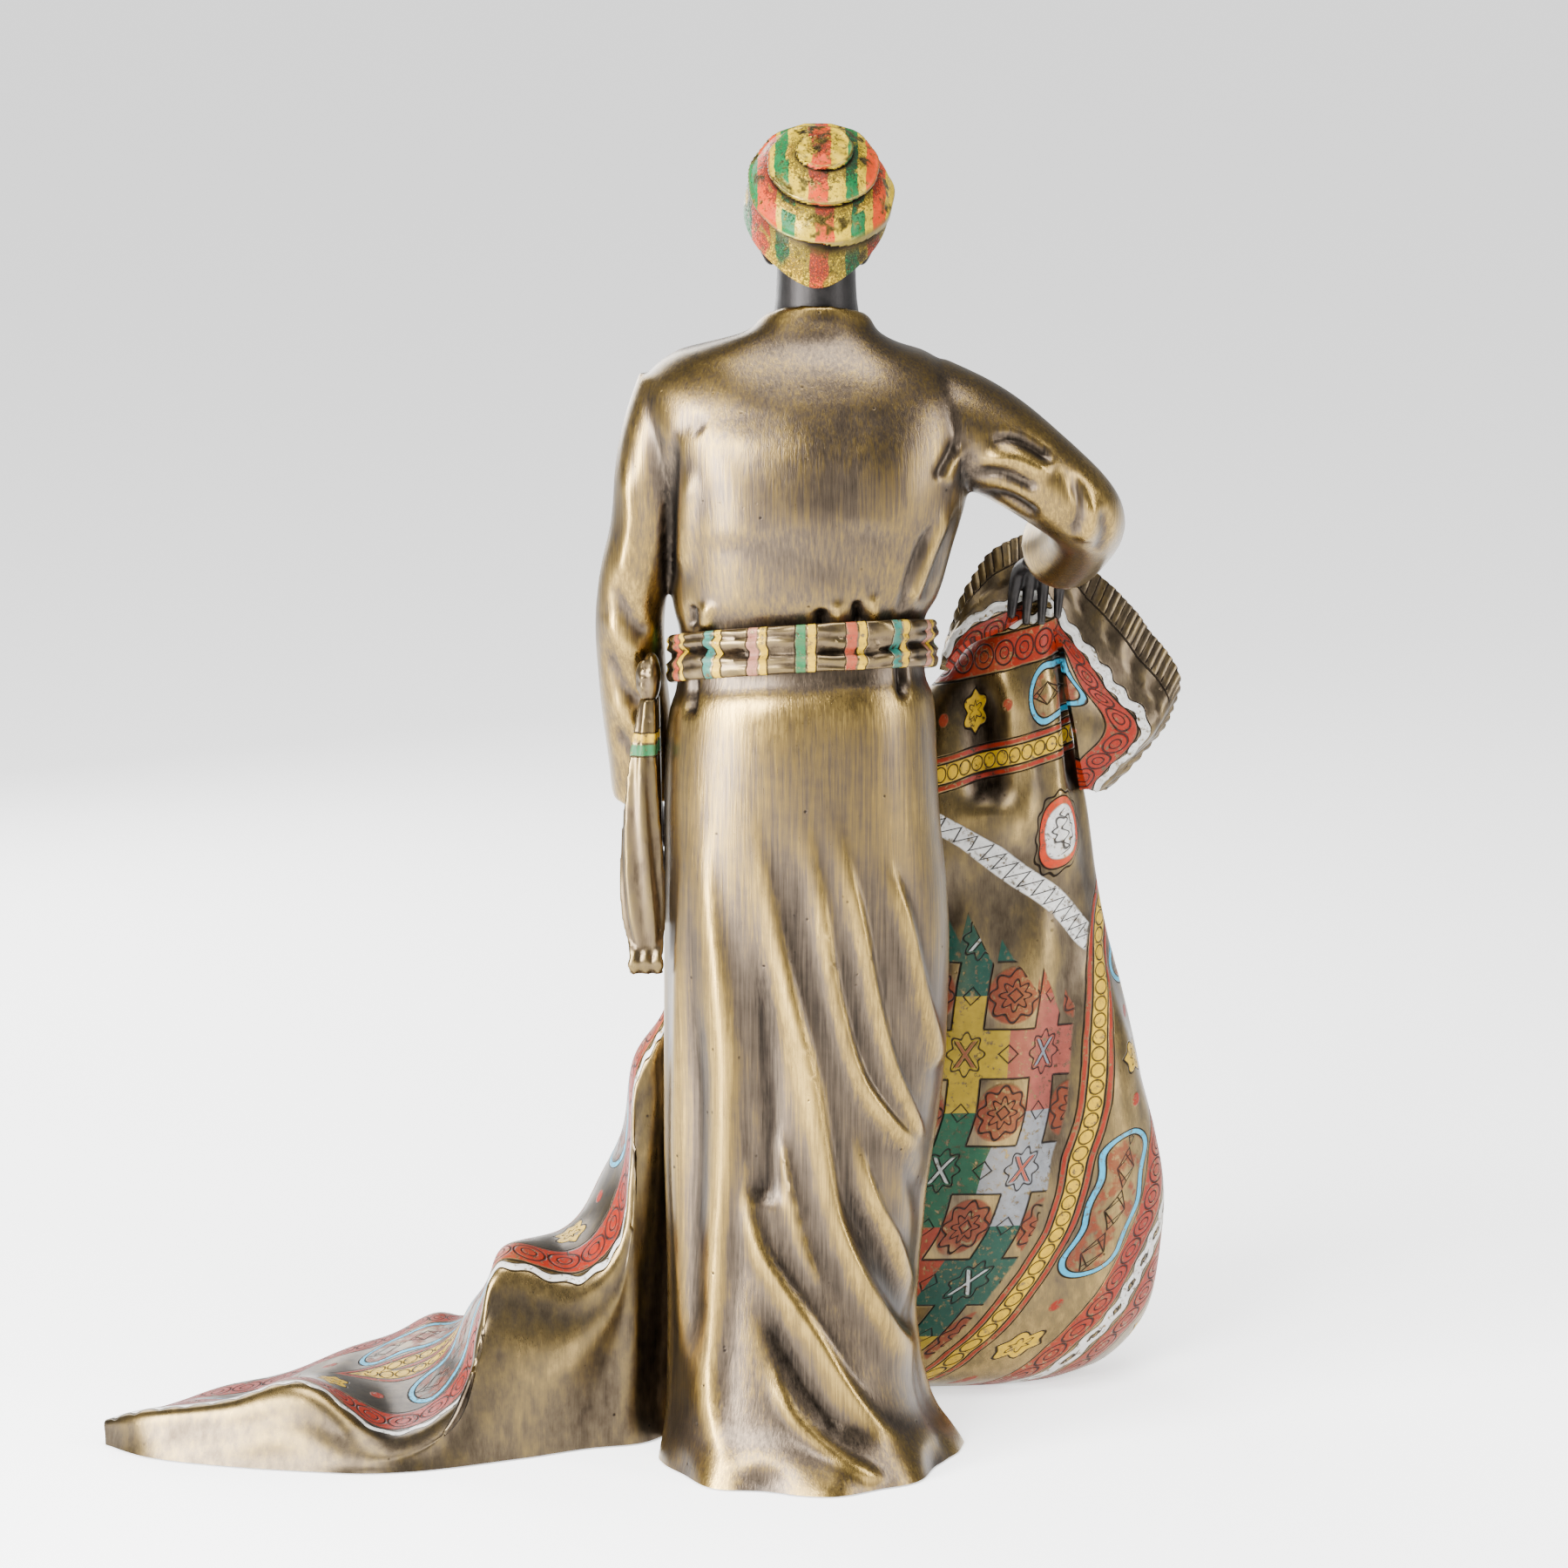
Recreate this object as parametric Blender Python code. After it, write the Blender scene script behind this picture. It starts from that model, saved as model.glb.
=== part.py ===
"""Cold-painted bronze statuette: a robed carpet seller, seen from behind, holding up a carpet.

Design units are millimetres in the figure's own frame: X to the figure's right hand, Y the way
the figure faces, Z up from the table, with X = Y = 0 on the axis of the body. Blender's metres
come from MM. The finished assembly is moved so that the middle of its footprint is the origin.
"""

import math

import bmesh
import bpy
import numpy as np
from mathutils import Matrix, Vector

MM = 0.001

# Driving dimensions, mm. The turban's top is 258 above the table.
WAIST_Z = 158.0          # joint between the skirt casting and the torso casting
WALL = 3.0               # wall of the hollow castings
GAP = 0.3                # clearance that the brazed or pinned faces keep
RIM_GAP = 0.6            # the same at the waist, measured upright on its slanted rim
STUD_R = 2.5             # neck stud
DOWEL_R = 2.0            # shoulder dowels, tie rod and carpet screws
HEAD_OF_SCREW_R = 3.8
NUT_R = 4.0              # across the corners, halved
NUT_THICK = 3.2
CUFF_BORE_R = 5.2        # hollow of each cuff round the wrist

# Colours as (red, green, blue, roughness, metallic)
BRONZE = (0.36, 0.27, 0.14, 0.35, 1.0)
DARK_SKIN = (0.05, 0.045, 0.045, 0.4, 0.6)
TURBAN_PAINT = (0.55, 0.45, 0.08, 0.5, 0.2)
CARPET_PAINT = (0.36, 0.13, 0.08, 0.5, 0.3)
SASH_PAINT = (0.42, 0.36, 0.15, 0.45, 0.5)
BRASS = (0.55, 0.42, 0.18, 0.4, 1.0)
STEEL = (0.45, 0.45, 0.46, 0.4, 1.0)


# ---------------------------------------------------------------- helpers

def clear_scene():
    for thing in list(bpy.data.objects):
        bpy.data.objects.remove(thing)


def material(name, look):
    red, green, blue, roughness, metallic = look
    made = bpy.data.materials.get(name) or bpy.data.materials.new(name)
    made.use_nodes = True
    shader = made.node_tree.nodes["Principled BSDF"]
    shader.inputs["Base Color"].default_value = (red, green, blue, 1.0)
    shader.inputs["Roughness"].default_value = roughness
    shader.inputs["Metallic"].default_value = metallic
    return made


def add_object(name, mesh, look=None):
    made = bpy.data.objects.new(name, mesh)
    bpy.context.scene.collection.objects.link(made)
    if look:
        mesh.materials.append(material(name + "_finish", look))
    return made


def helper(thing):
    """Marks an object as a cutter, which is no part of the statuette."""
    thing.hide_render = True
    thing.display_type = "WIRE"
    return thing


def boolean(target, other, operation="DIFFERENCE"):
    modifier = target.modifiers.new(operation.lower() + "_" + other.name, "BOOLEAN")
    modifier.operation = operation
    modifier.solver = "EXACT"
    modifier.object = helper(other)
    return target


def smooth(mesh, angle=40):
    mesh.shade_smooth()
    mesh.set_sharp_from_angle(angle=math.radians(angle))


def spline(points, count):
    """Catmull-Rom curve through the points, at evenly spaced parameters. Any number of columns."""
    points = np.asarray(points, float)
    padded = np.vstack([2 * points[0] - points[1], points, 2 * points[-1] - points[-2]])
    places = np.linspace(0, len(points) - 1, count)
    first = np.minimum(places.astype(int), len(points) - 2)
    t = (places - first)[:, None]
    a, b, c, d = (padded[first + k] for k in range(4))
    return 0.5 * (2 * b + (c - a) * t + (2 * a - 5 * b + 4 * c - d) * t**2
                  + (3 * b - a - 3 * c + d) * t**3)


def skin(name, rings, look=None, closed=False, angle=40):
    """Skins rings of points, in mm, one after another. Open ends are capped."""
    work = bmesh.new()
    rows = [[work.verts.new(Vector(p) * MM) for p in ring] for ring in rings]
    count = len(rows[0])
    pairs = list(zip(rows, rows[1:]))
    if closed:
        pairs.append((rows[-1], rows[0]))
    for lower, upper in pairs:
        for i in range(count):
            j = (i + 1) % count
            work.faces.new((lower[i], lower[j], upper[j], upper[i]))
    if not closed:
        work.faces.new(rows[0][::-1])
        work.faces.new(rows[-1])
    bmesh.ops.triangulate(work, faces=work.faces)
    bmesh.ops.recalc_face_normals(work, faces=work.faces)
    mesh = bpy.data.meshes.new(name)
    work.to_mesh(mesh)
    work.free()
    smooth(mesh, angle)
    return add_object(name, mesh, look)


def oval(z, left, right, back, front, count, power=2.3, inset=0.0):
    """One level of a body, a super-ellipse between its four sides."""
    x, a = (left + right) / 2, (right - left) / 2 - inset
    y, b = (back + front) / 2, (front - back) / 2 - inset
    turn = np.linspace(0, 2 * math.pi, count, endpoint=False)
    cos, sin = np.cos(turn), np.sin(turn)
    reach = (np.abs(cos) ** power + np.abs(sin) ** power) ** (-1 / power)
    return np.column_stack([x + a * reach * cos, y + b * reach * sin, np.full(count, z)])


def rod(name, start, end, radius, look=None, sides=16):
    """Round bar between two points in mm."""
    start, end = Vector(start), Vector(end)
    along = end - start
    work = bmesh.new()
    bmesh.ops.create_cone(work, cap_ends=True, segments=sides, radius1=radius * MM,
                          radius2=radius * MM, depth=along.length * MM)
    mesh = bpy.data.meshes.new(name)
    work.to_mesh(mesh)
    work.free()
    smooth(mesh)
    made = add_object(name, mesh, look)
    made.matrix_world = (Matrix.Translation((start + end) / 2 * MM)
                         @ along.to_track_quat("Z", "Y").to_matrix().to_4x4())
    return made


def bored_disc(name, start, end, radius, hole, look, sides=6):
    """Nut or washer: a short bar with a hole for the rod that goes through it."""
    made = rod(name, start, end, radius, look, sides)
    start, end = Vector(start), Vector(end)
    past = (end - start).normalized() * 2
    return boolean(made, rod("cut_" + name, start - past, end + past, hole + GAP, sides=16))


def limb(name, path, radii, look=None, count=16, levels=14, flatten=1.0, angle=50):
    """Round limb along a spline, with a radius at each point of its path."""
    path = spline(path, levels)
    radii = spline([[r] for r in radii], levels)[:, 0]
    rings = []
    side = Vector((0, 1, 0))
    for k, (centre, radius) in enumerate(zip(path, radii)):
        ahead = Vector(path[min(k + 1, levels - 1)] - path[max(k - 1, 0)]).normalized()
        side = (side - ahead * side.dot(ahead)).normalized()
        other = ahead.cross(side)
        turn = np.linspace(0, 2 * math.pi, count, endpoint=False)
        rings.append([Vector(centre) + side * (radius * math.cos(t))
                      + other * (radius * flatten * math.sin(t)) for t in turn])
    return skin(name, rings, look, angle=angle)


# ---------------------------------------------------------------- robe castings

SKIRT_SIDES = 30
# height, left, right, back, front
SKIRT_LEVELS = [
    (0, -28.5, 28.5, -32, 18.5),
    (4, -28, 26.5, -30, 19),
    (12, -27, 22.5, -26, 19.5),
    (28, -26.5, 20.3, -23, 20),
    (50, -26.6, 22.3, -20.5, 20.3),
    (75, -27, 26, -19.5, 20.3),
    (102, -27, 27.5, -19.5, 20),
    (128, -27, 25.6, -20, 19),
    (146, -26, 24.8, -19.5, 17),
    (152, -24.6, 23, -17.6, 15.8),
    (WAIST_Z, -24, 22.6, -17, 15.5),
]
TORSO_LEVELS = [
    (WAIST_Z + RIM_GAP, -24, 22.6, -17, 15.5),
    (163.5, -24.2, 22.8, -17.2, 15.7),
    (168, -25.3, 25.2, -18.6, 16.5),
    (178, -26, 28, -19.8, 17),
    (188, -27, 30.5, -20.6, 18),
    (198, -29, 32, -20, 18),
    (205, -31, 31.5, -18, 16.8),
    (210.5, -30.5, 29, -15.5, 14.8),
    (214.8, -26, 24, -13, 12.5),
    (218, -18.5, 17.5, -10.6, 11),
    (221, -11.5, 13.6, -9.3, 10.6),
    (224.5, -8.6, 12.3, -7.8, 10.6),
]
LEDGE_Z = 150.0                          # where the two waist flanges meet
FLANGE = (-12.6, 11.2, -11.8, 10.3)       # opening inside the two waist flanges
SPIGOT = (-20.6, 19.2, -13.6, 12.1)      # ring of the torso that drops into the skirt
NECK = (1.9, 1.2)                        # axis of the neck in plan


def folded(ring, level, depth):
    """Hanging folds: a wave round the ring that grows towards the hem."""
    centre = ring[:, :2].mean(axis=0)
    away = ring[:, :2] - centre
    angle = np.arctan2(away[:, 1], away[:, 0])
    wave = 0.6 * np.cos(9 * angle + 0.016 * level) + 0.4 * np.cos(5 * angle - 0.01 * level)
    ring[:, :2] += away / np.linalg.norm(away, axis=1)[:, None] * (wave * depth)[:, None]
    return ring


def waist_tilt(ring, share):
    """The sash rides higher at the back and on the right, and the waist joint under it follows."""
    ring[:, 2] += share * (0.06 * ring[:, 0] - 0.2 * ring[:, 1])
    return ring


def fold_depth(z):
    return 1.1 * max(0, 1 - z / 110)


def skirt_rings():
    """Outside of the skirt, from the hem up."""
    rings = []
    for row in spline(SKIRT_LEVELS, 16):
        ring = folded(oval(*row, SKIRT_SIDES), row[0], fold_depth(row[0]))
        rings.append(waist_tilt(ring, max(0, (row[0] - 118) / (WAIST_Z - 118))))
    rings[0][:, 2] = 0
    return rings


def torso_rings():
    """Outside of the torso, from the waist up. The collar stands high behind and dips in front."""
    rings = []
    for row in spline(TORSO_LEVELS, 17):
        ring = oval(*row, SKIRT_SIDES)
        dip = 0.36 * max(0, (row[0] - 216) / 8.5)
        ring[:, 2] -= dip * (ring[:, 1] - ring[:, 1].min())
        rings.append(waist_tilt(ring, max(0, 1 - (row[0] - WAIST_Z - RIM_GAP) / 26)))
    return rings


def robe_skirt():
    outer = skirt_rings()
    inner = [oval(*row, SKIRT_SIDES, inset=WALL + 1.1 * fold_depth(row[0]))
             for row in spline(SKIRT_LEVELS, 16) if row[0] < 143]
    ledge = [oval(z, *FLANGE, SKIRT_SIDES) for z in (LEDGE_Z - WALL, LEDGE_Z)]
    seat = [oval(z, *SPIGOT, SKIRT_SIDES, inset=-GAP) for z in (LEDGE_Z, WAIST_Z)]
    under_ledge = [oval(LEDGE_Z - WALL, -22.5, 21, -15.5, 14, SKIRT_SIDES)]
    return skin("robe_skirt", outer + seat[::-1] + ledge[::-1] + under_ledge + inner[::-1],
                BRONZE, closed=True)


def robe_torso():
    outer = torso_rings()
    spigot_z = LEDGE_Z + GAP
    spigot = [oval(z, *SPIGOT, SKIRT_SIDES) for z in (spigot_z, WAIST_Z + RIM_GAP)]
    ledge = [oval(z, *FLANGE, SKIRT_SIDES) for z in (spigot_z, spigot_z + WALL)]
    cavity = [oval(z, left + WALL, right - WALL, back + WALL, front - WALL, SKIRT_SIDES)
              for z, left, right, back, front in (
                  (spigot_z + WALL, -20.4, 19, -13.6, 12.1), (WAIST_Z + 4, -23, 22, -16.5, 14.5),
                  (178, -26, 27.5, -19.5, 16.8), (196, -28, 30, -19.8, 17.5),
                  (204, -24, 25, -17, 15.5), (208, -16, 17, -13, 12))]
    # the cavity's inner roof first, so that one skin runs inside, round the spigot and up outside
    made = skin("robe_torso", cavity[::-1] + ledge[::-1] + spigot + outer, BRONZE)
    socket = rod("cut_neck_socket", (*NECK, 218.6), (*NECK, 230), 8.4, sides=24)
    return boolean(boolean(made, socket), rod("cut_torso_stud", (*NECK, 205), (*NECK, 222),
                                              STUD_R + GAP))


# ---------------------------------------------------------------- sleeves and hands

LEFT_ARM = [(-24, 0, 208.5), (-28.4, -0.5, 197), (-30.6, 0.5, 182), (-33.4, 3, 168),
            (-33.5, 6.5, 154), (-32.2, 10, 141), (-31.2, 13.6, 128)]
LEFT_ARM_R = [8.2, 7.4, 6.8, 6.7, 6.6, 6.7, 6.4]
RIGHT_ARM = [(22, 0, 204), (32, -1, 200), (43, -2, 193), (51, -1, 186.5), (53.6, 5, 182),
             (52.4, 13, 178), (49.6, 21, 174.5)]
RIGHT_ARM_R = [11, 10.3, 9, 8, 7.4, 7.6, 8.4]
LEFT_WRIST = ((-31.6, 12.2, 132), (-30.7, 15.6, 120))
RIGHT_WRIST = ((50.6, 17.5, 176), (45.5, 31, 169.5))


def grown(name, source_rings, amount):
    """A copy of a body, larger by amount, for cutting its neighbour clear of it."""
    rings = []
    for ring in source_rings:
        centre = ring.mean(axis=0)
        away = ring - centre
        away[:, 2] = 0
        length = np.linalg.norm(away, axis=1)[:, None]
        rings.append(ring + away / np.maximum(length, 0.01) * amount)
    return skin(name, rings)


def sleeve(name, path, radii, wrist):
    made = limb(name, path, radii, BRONZE)
    boolean(made, grown("cut_torso_" + name, torso_rings(), GAP))
    start, end = (Vector(p) for p in wrist)
    mouth = rod("cut_mouth_" + name, start, end, CUFF_BORE_R, sides=20)
    return boolean(made, mouth)


def dowel(name, start, end, radius, owners, look=BRASS):
    """A pin with its bore cut into both castings that it holds."""
    made = rod(name, start, end, radius, look)
    start, end = Vector(start), Vector(end)
    tip = (end - start).normalized() * GAP
    for owner in owners:
        cutter = rod("cut_" + name + "_" + owner.name, start - tip, end + tip, radius + GAP)
        boolean(owner, cutter)
    return made


def hand(name, path, radii, flatten):
    return limb(name, path, radii, DARK_SKIN, count=12, levels=10, flatten=flatten)


# ---------------------------------------------------------------- head and turban

HEAD_C = (1.9, 5.0, 239.0)
HEAD_R = (10.6, 12.6, 15.0)
TURBAN_C = (2.1, 3.6, 243.2)
TURBAN_R = (13.9, 16.4, 14.8)
TURBAN_TILT = -14.0                       # degrees about X: the crown leans back


def ball(name, centre, radii, look=None, sides=24, rings=15, tilt=0.0):
    work = bmesh.new()
    bmesh.ops.create_uvsphere(work, u_segments=sides, v_segments=rings, radius=1.0)
    turn = Matrix.Rotation(math.radians(tilt), 4, "X")
    size = Matrix.Diagonal((*[r * MM for r in radii], 1))
    bmesh.ops.transform(work, verts=work.verts,
                        matrix=Matrix.Translation(Vector(centre) * MM) @ turn @ size)
    mesh = bpy.data.meshes.new(name)
    work.to_mesh(mesh)
    work.free()
    smooth(mesh, 60)
    return add_object(name, mesh, look)


def head():
    made = ball("head", HEAD_C, HEAD_R, DARK_SKIN)
    neck = limb("add_neck", [(*NECK, 219.3), (*NECK, 225), (1.9, 2.6, 232)], [8, 7.6, 8],
                count=20, levels=6)
    nose = ball("add_nose", (1.9, 16.0, 237.4), (1.9, 2.9, 3.4), sides=12, rings=8)
    chin = ball("add_chin", (1.9, 12.4, 228.6), (5.4, 4.4, 4.4), sides=14, rings=9)
    for extra in (neck, nose, chin):
        boolean(made, extra, "UNION")
    return made


def turban():
    made = ball("turban", TURBAN_C, TURBAN_R, TURBAN_PAINT, tilt=TURBAN_TILT)
    face = ball("cut_face", (1.9, 27.0, 231.5), (22, 18.5, 15.5), sides=24, rings=14)
    boolean(made, face)
    skull = ball("cut_skull", HEAD_C, [r + GAP for r in HEAD_R])
    boolean(made, skull)
    neck = limb("cut_neck", [(*NECK, 219), (*NECK, 225), (1.9, 2.6, 232)], [8.4, 8, 8.4],
                count=20, levels=6)
    return boolean(made, neck)


# ---------------------------------------------------------------- sash

SASH_LEVELS = [(153.4, 0.5), (154.4, 1.6), (158, 2.1), (161.6, 1.6), (162.6, 0.5)]


def sash():
    """Wound band over the waist joint, clear of both castings."""
    outer = [oval(z, -24.9 - out, 23.5 + out, -18.1 - out, 16.4 + out, SKIRT_SIDES)
             for z, out in SASH_LEVELS]
    inner = [oval(z, -24.9, 23.5, -18.1, 16.4, SKIRT_SIDES) for z in (153.4, 162.6)]
    rings = [waist_tilt(ring, 1) for ring in outer + inner[::-1]]
    return skin("sash", rings, SASH_PAINT, closed=True)


def ribbon(name, path, widths, thick, look, levels=12):
    """Hanging strip: its width runs along X, its thickness along Y."""
    path, widths = spline(path, levels), spline([[w] for w in widths], levels)[:, 0]
    outline = [(-0.5, 0.5), (0, 0.62), (0.5, 0.5), (0.62, 0), (0.5, -0.5), (0, -0.62),
               (-0.5, -0.5), (-0.62, 0)]
    rings = [[(x + width * u, y + thick * v, z) for u, v in outline]
             for (x, y, z), width in zip(path, widths)]
    return skin(name, rings, look)


def sash_ends():
    ball("sash_knot", (-29.5, -3, 153.5), (2.0, 3.6, 5.2), SASH_PAINT, 18, 12)
    ribbon("sash_tail_long", [(-30.2, -3.8, 147.6), (-31.2, -4.4, 135), (-31.5, -4.8, 121),
                              (-31.2, -4.8, 108), (-30.2, -4.6, 97)],
           [2.2, 3.6, 4.2, 4.2, 3.2], 3.6, SASH_PAINT)
    ribbon("sash_tail_short", [(-28.7, 0.6, 147.6), (-28.9, 0.7, 138), (-29, 0.8, 124),
                               (-28.8, 0.8, 111), (-28.7, 0.8, 104)],
           [0.8, 1.2, 1.5, 1.4, 1], 3.2, SASH_PAINT)


# ---------------------------------------------------------------- carpets

CARPET_SIDES = 30
# height, left, right, back, front: the carpet held up at the figure's right hand
CARPET_LEVELS = [
    (0, -13, 55, 37, 62),
    (3, -18, 61, 32, 66),
    (9, -21.5, 66.5, 28, 69),
    (18, -24.5, 70.5, 25.5, 70),
    (36, -27, 73.3, 23.5, 69),
    (52, -27, 71.8, 23.2, 66),
    (66, -27, 68.6, 23.4, 62.5),
    (80, -24.5, 64.2, 24, 58.5),
    (94, -16.5, 59.8, 24.8, 54.5),
    (108, -6, 56.4, 26, 51.5),
    (122, 5.5, 54.4, 27.4, 48.5),
    (136, 17, 52.6, 28.8, 46),
    (148, 28, 51.6, 30.2, 43.5),
    (157, 36, 50, 32, 41),
    (161.5, 41, 48.6, 34, 39),
]


def standing_rings(inset=0.0, top_drop=0.0):
    rows = spline(CARPET_LEVELS, 18)
    rings = [oval(*row, CARPET_SIDES, power=2.0, inset=inset) for row in rows
             if row[0] <= 161.5 - top_drop]
    return rings


def standing_carpet():
    inner = standing_rings(inset=WALL, top_drop=26)
    outer = standing_rings()
    return skin("standing_carpet", inner[::-1] + outer, CARPET_PAINT)


# Rails of the carpet's trailing end, from the robe out to the tip on the table
NEAR_FOOT = [(-23, 16, 0), (-28, 12, 0), (-31, 9, 0), (-34, 7.5, 0), (-42, 3, 0), (-53, -4.5, 0),
             (-62, -10.5, 0), (-69, -14, 0), (-77, -17.5, 0), (-86, -19, 0), (-97, -17.5, 0),
             (-112, -14.5, 0), (-128, -9, 0), (-137.5, -1, 0)]
NEAR_EDGE = [(-20, 20, 84), (-27, 12, 78), (-31.5, 8, 70), (-33, 6, 55), (-36, 2.5, 39),
             (-44, -1, 33), (-58, -3.5, 37), (-63, -7, 27), (-69, -10.5, 13), (-82, -13, 6.5),
             (-97, -9, 14), (-112, -8.5, 11), (-128, -5, 7.5), (-137.5, 0, 4)]
MIDDLE = [(-18, 34, 80), (-26, 28, 75), (-33, 25, 67), (-37, 24, 56), (-42, 22, 45),
          (-49, 20, 38.5), (-59, 18, 34), (-65, 17, 25), (-71, 16, 16), (-82, 15.5, 9.5),
          (-96, 13, 10), (-111, 9, 7.5), (-126, 5, 6), (-136.5, 2, 4)]
FAR_EDGE = [(-16, 54, 34), (-25, 53, 36), (-32, 52.5, 34), (-38, 52, 30), (-44, 51.5, 25),
            (-51, 51, 20), (-58, 50, 16), (-64, 49, 13), (-70, 48, 12), (-78, 45, 12),
            (-91, 36, 9), (-109, 22, 6.5), (-124, 11, 5), (-135.5, 4, 3.6)]
FAR_FOOT = [(-14, 62, 0), (-24, 61, 0), (-32, 60, 0), (-38, 59, 0), (-44, 58, 0), (-51, 57, 0),
            (-58, 56, 0), (-65, 55, 0), (-72, 53.5, 0), (-81, 50, 0), (-94, 41, 0),
            (-111, 27, 0), (-126, 15, 0), (-136.5, 6, 0)]
TRAIN_STATIONS = 30
TRAIN_WALL = 2.6


def train_station(points):
    """Closed section of the sheet at one station: over the top, and back underneath."""
    outer = spline(points, 12)
    top = max(z for _, _, z in points)
    outer[:, 2] = np.clip(outer[:, 2], 0, top)
    middle_y = (outer[0, 1] + outer[-1, 1]) / 2
    half = abs(outer[-1, 1] - outer[0, 1]) / 2
    inner = outer.copy()
    inner[:, 1] = middle_y + (outer[:, 1] - middle_y) * (1 - min(TRAIN_WALL / half, 0.5))
    inner[:, 2] *= 1 - min(TRAIN_WALL / top, 0.6)
    return np.vstack([outer, inner[::-1]])


def trailing_carpet():
    rails = [spline(r, TRAIN_STATIONS) for r in
             (NEAR_FOOT, NEAR_EDGE, MIDDLE, FAR_EDGE, FAR_FOOT)]
    rings = [train_station([rail[k] for rail in rails]) for k in range(TRAIN_STATIONS)]
    made = skin("trailing_carpet", rings, CARPET_PAINT)
    boolean(made, grown("cut_standing", lowered(standing_rings()), GAP))
    return boolean(made, grown("cut_skirt", lowered(skirt_rings()), GAP))


def lowered(rings):
    """The same rings with the lowest one pushed below the table, so that a cut goes right through."""
    rings[0][:, 2] = -5
    return rings


# The carpet's end beyond the hand: for each station the crease, the middle and the outer edge
FLAP = [
    ((28.2, 27.6, 144), (28.0, 29.5, 147.5), (27.6, 32, 150.5)),
    ((32.4, 28.2, 153.6), (31.6, 32, 158.6), (31.2, 36, 163)),
    ((38.4, 29.4, 160.5), (38.2, 34, 167), (38.2, 39, 172.4)),
    ((45.5, 41.4, 163.6), (46.5, 42.2, 168.5), (48, 43, 173.6)),
    ((51.4, 34.4, 159.6), (56, 38.6, 163.2), (60.6, 42.6, 166.4)),
    ((53.2, 33.6, 151), (61, 38.6, 154.6), (68, 43.4, 158.8)),
    ((54.0, 33.4, 141), (64, 39, 143.4), (73.4, 44.4, 146)),
    ((54.8, 33.8, 132), (63, 38.6, 132.6), (70, 43, 136)),
    ((55.6, 34.4, 124.6), (58, 37.2, 123.6), (60, 40, 124.4)),
]
FLAP_THICK = 2.0


def carpet_end():
    stations = spline([np.ravel(row) for row in FLAP], 21).reshape(-1, 3, 3)
    rings = []
    for row in stations:
        top = spline(row, 5)
        rings.append(np.vstack([top, top[::-1] + (0, FLAP_THICK, -0.6)]))
    made = skin("carpet_end", rings, CARPET_PAINT)
    return boolean(made, grown("cut_end", standing_rings(), GAP))


# ---------------------------------------------------------------- inside fixings

BAR_THICK = 4.0
BAR_WIDE = 6.0
BAR_Z_LOW = LEDGE_Z - WALL - GAP - BAR_THICK       # under the skirt's flange
BAR_Z_HIGH = LEDGE_Z + WALL + 2 * GAP              # on the torso's flange
TIE_X, TIE_Y = -0.7, -0.7


def bar(name, z, length):
    work = bmesh.new()
    bmesh.ops.create_cube(work, size=1.0)
    bmesh.ops.transform(work, verts=work.verts, matrix=(
        Matrix.Translation(Vector((TIE_X, TIE_Y, z + BAR_THICK / 2)) * MM)
        @ Matrix.Diagonal((length * MM, BAR_WIDE * MM, BAR_THICK * MM, 1))))
    mesh = bpy.data.meshes.new(name)
    work.to_mesh(mesh)
    work.free()
    made = add_object(name, mesh, STEEL)
    bevel = made.modifiers.new("edges", "BEVEL")
    bevel.width = 0.6 * MM
    bevel.segments = 1
    hole = rod("cut_" + name, (TIE_X, TIE_Y, z - 3), (TIE_X, TIE_Y, z + BAR_THICK + 3),
               DOWEL_R + GAP)
    return boolean(made, hole)


def tie_fixings():
    """Rod, bars and nuts that pull the torso's flange down on the skirt's."""
    bar("lower_clamp_bar", BAR_Z_LOW, 36)
    bar("upper_clamp_bar", BAR_Z_HIGH, 31)
    rod("tie_rod", (TIE_X, TIE_Y, 137), (TIE_X, TIE_Y, 163), DOWEL_R, STEEL)
    low = BAR_Z_LOW - GAP
    high = BAR_Z_HIGH + BAR_THICK + GAP
    for name, start, end in (("tie_nut_lower", low - NUT_THICK, low),
                             ("tie_nut_upper", high, high + NUT_THICK)):
        bored_disc(name, (TIE_X, TIE_Y, start), (TIE_X, TIE_Y, end), NUT_R, DOWEL_R, STEEL)


def carpet_screw(name, z, skirt, carpet, x=4.0):
    """Screw from inside the skirt, through both walls, with a nut inside the hollow carpet."""
    screw = rod(name, (x, 8.8, z), (x, 11, z), HEAD_OF_SCREW_R, STEEL)
    boolean(screw, rod(name + "_shank", (x, 10, z), (x, 35, z), DOWEL_R), "UNION")
    for owner in (skirt, carpet):
        cutter = rod("cut_" + name + "_" + owner.name, (x, 12, z), (x, 36, z), DOWEL_R + GAP)
        boolean(owner, cutter)
    bored_disc(name + "_nut", (x, 29.8, z), (x, 29.8 + NUT_THICK, z), NUT_R, DOWEL_R, STEEL)


# ---------------------------------------------------------------- assembly

def centre_on_footprint():
    """Moves the whole assembly so that the middle of its footprint is the origin."""
    bpy.context.view_layer.update()
    graph = bpy.context.evaluated_depsgraph_get()
    corners = []
    for thing in bpy.data.objects:
        if not thing.hide_render:
            shown = thing.evaluated_get(graph)
            corners += [shown.matrix_world @ v.co for v in shown.data.vertices]
    corners = np.array(corners)
    middle = (corners.min(axis=0) + corners.max(axis=0)) / 2
    plinth = bpy.data.objects.new("statuette", None)
    bpy.context.scene.collection.objects.link(plinth)
    for thing in bpy.data.objects:
        if thing is not plinth:
            thing.parent = plinth
    plinth.location = (-middle[0], -middle[1], 0)
    print("footprint centre in the figure's frame, mm:", middle[:2] / MM)


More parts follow.
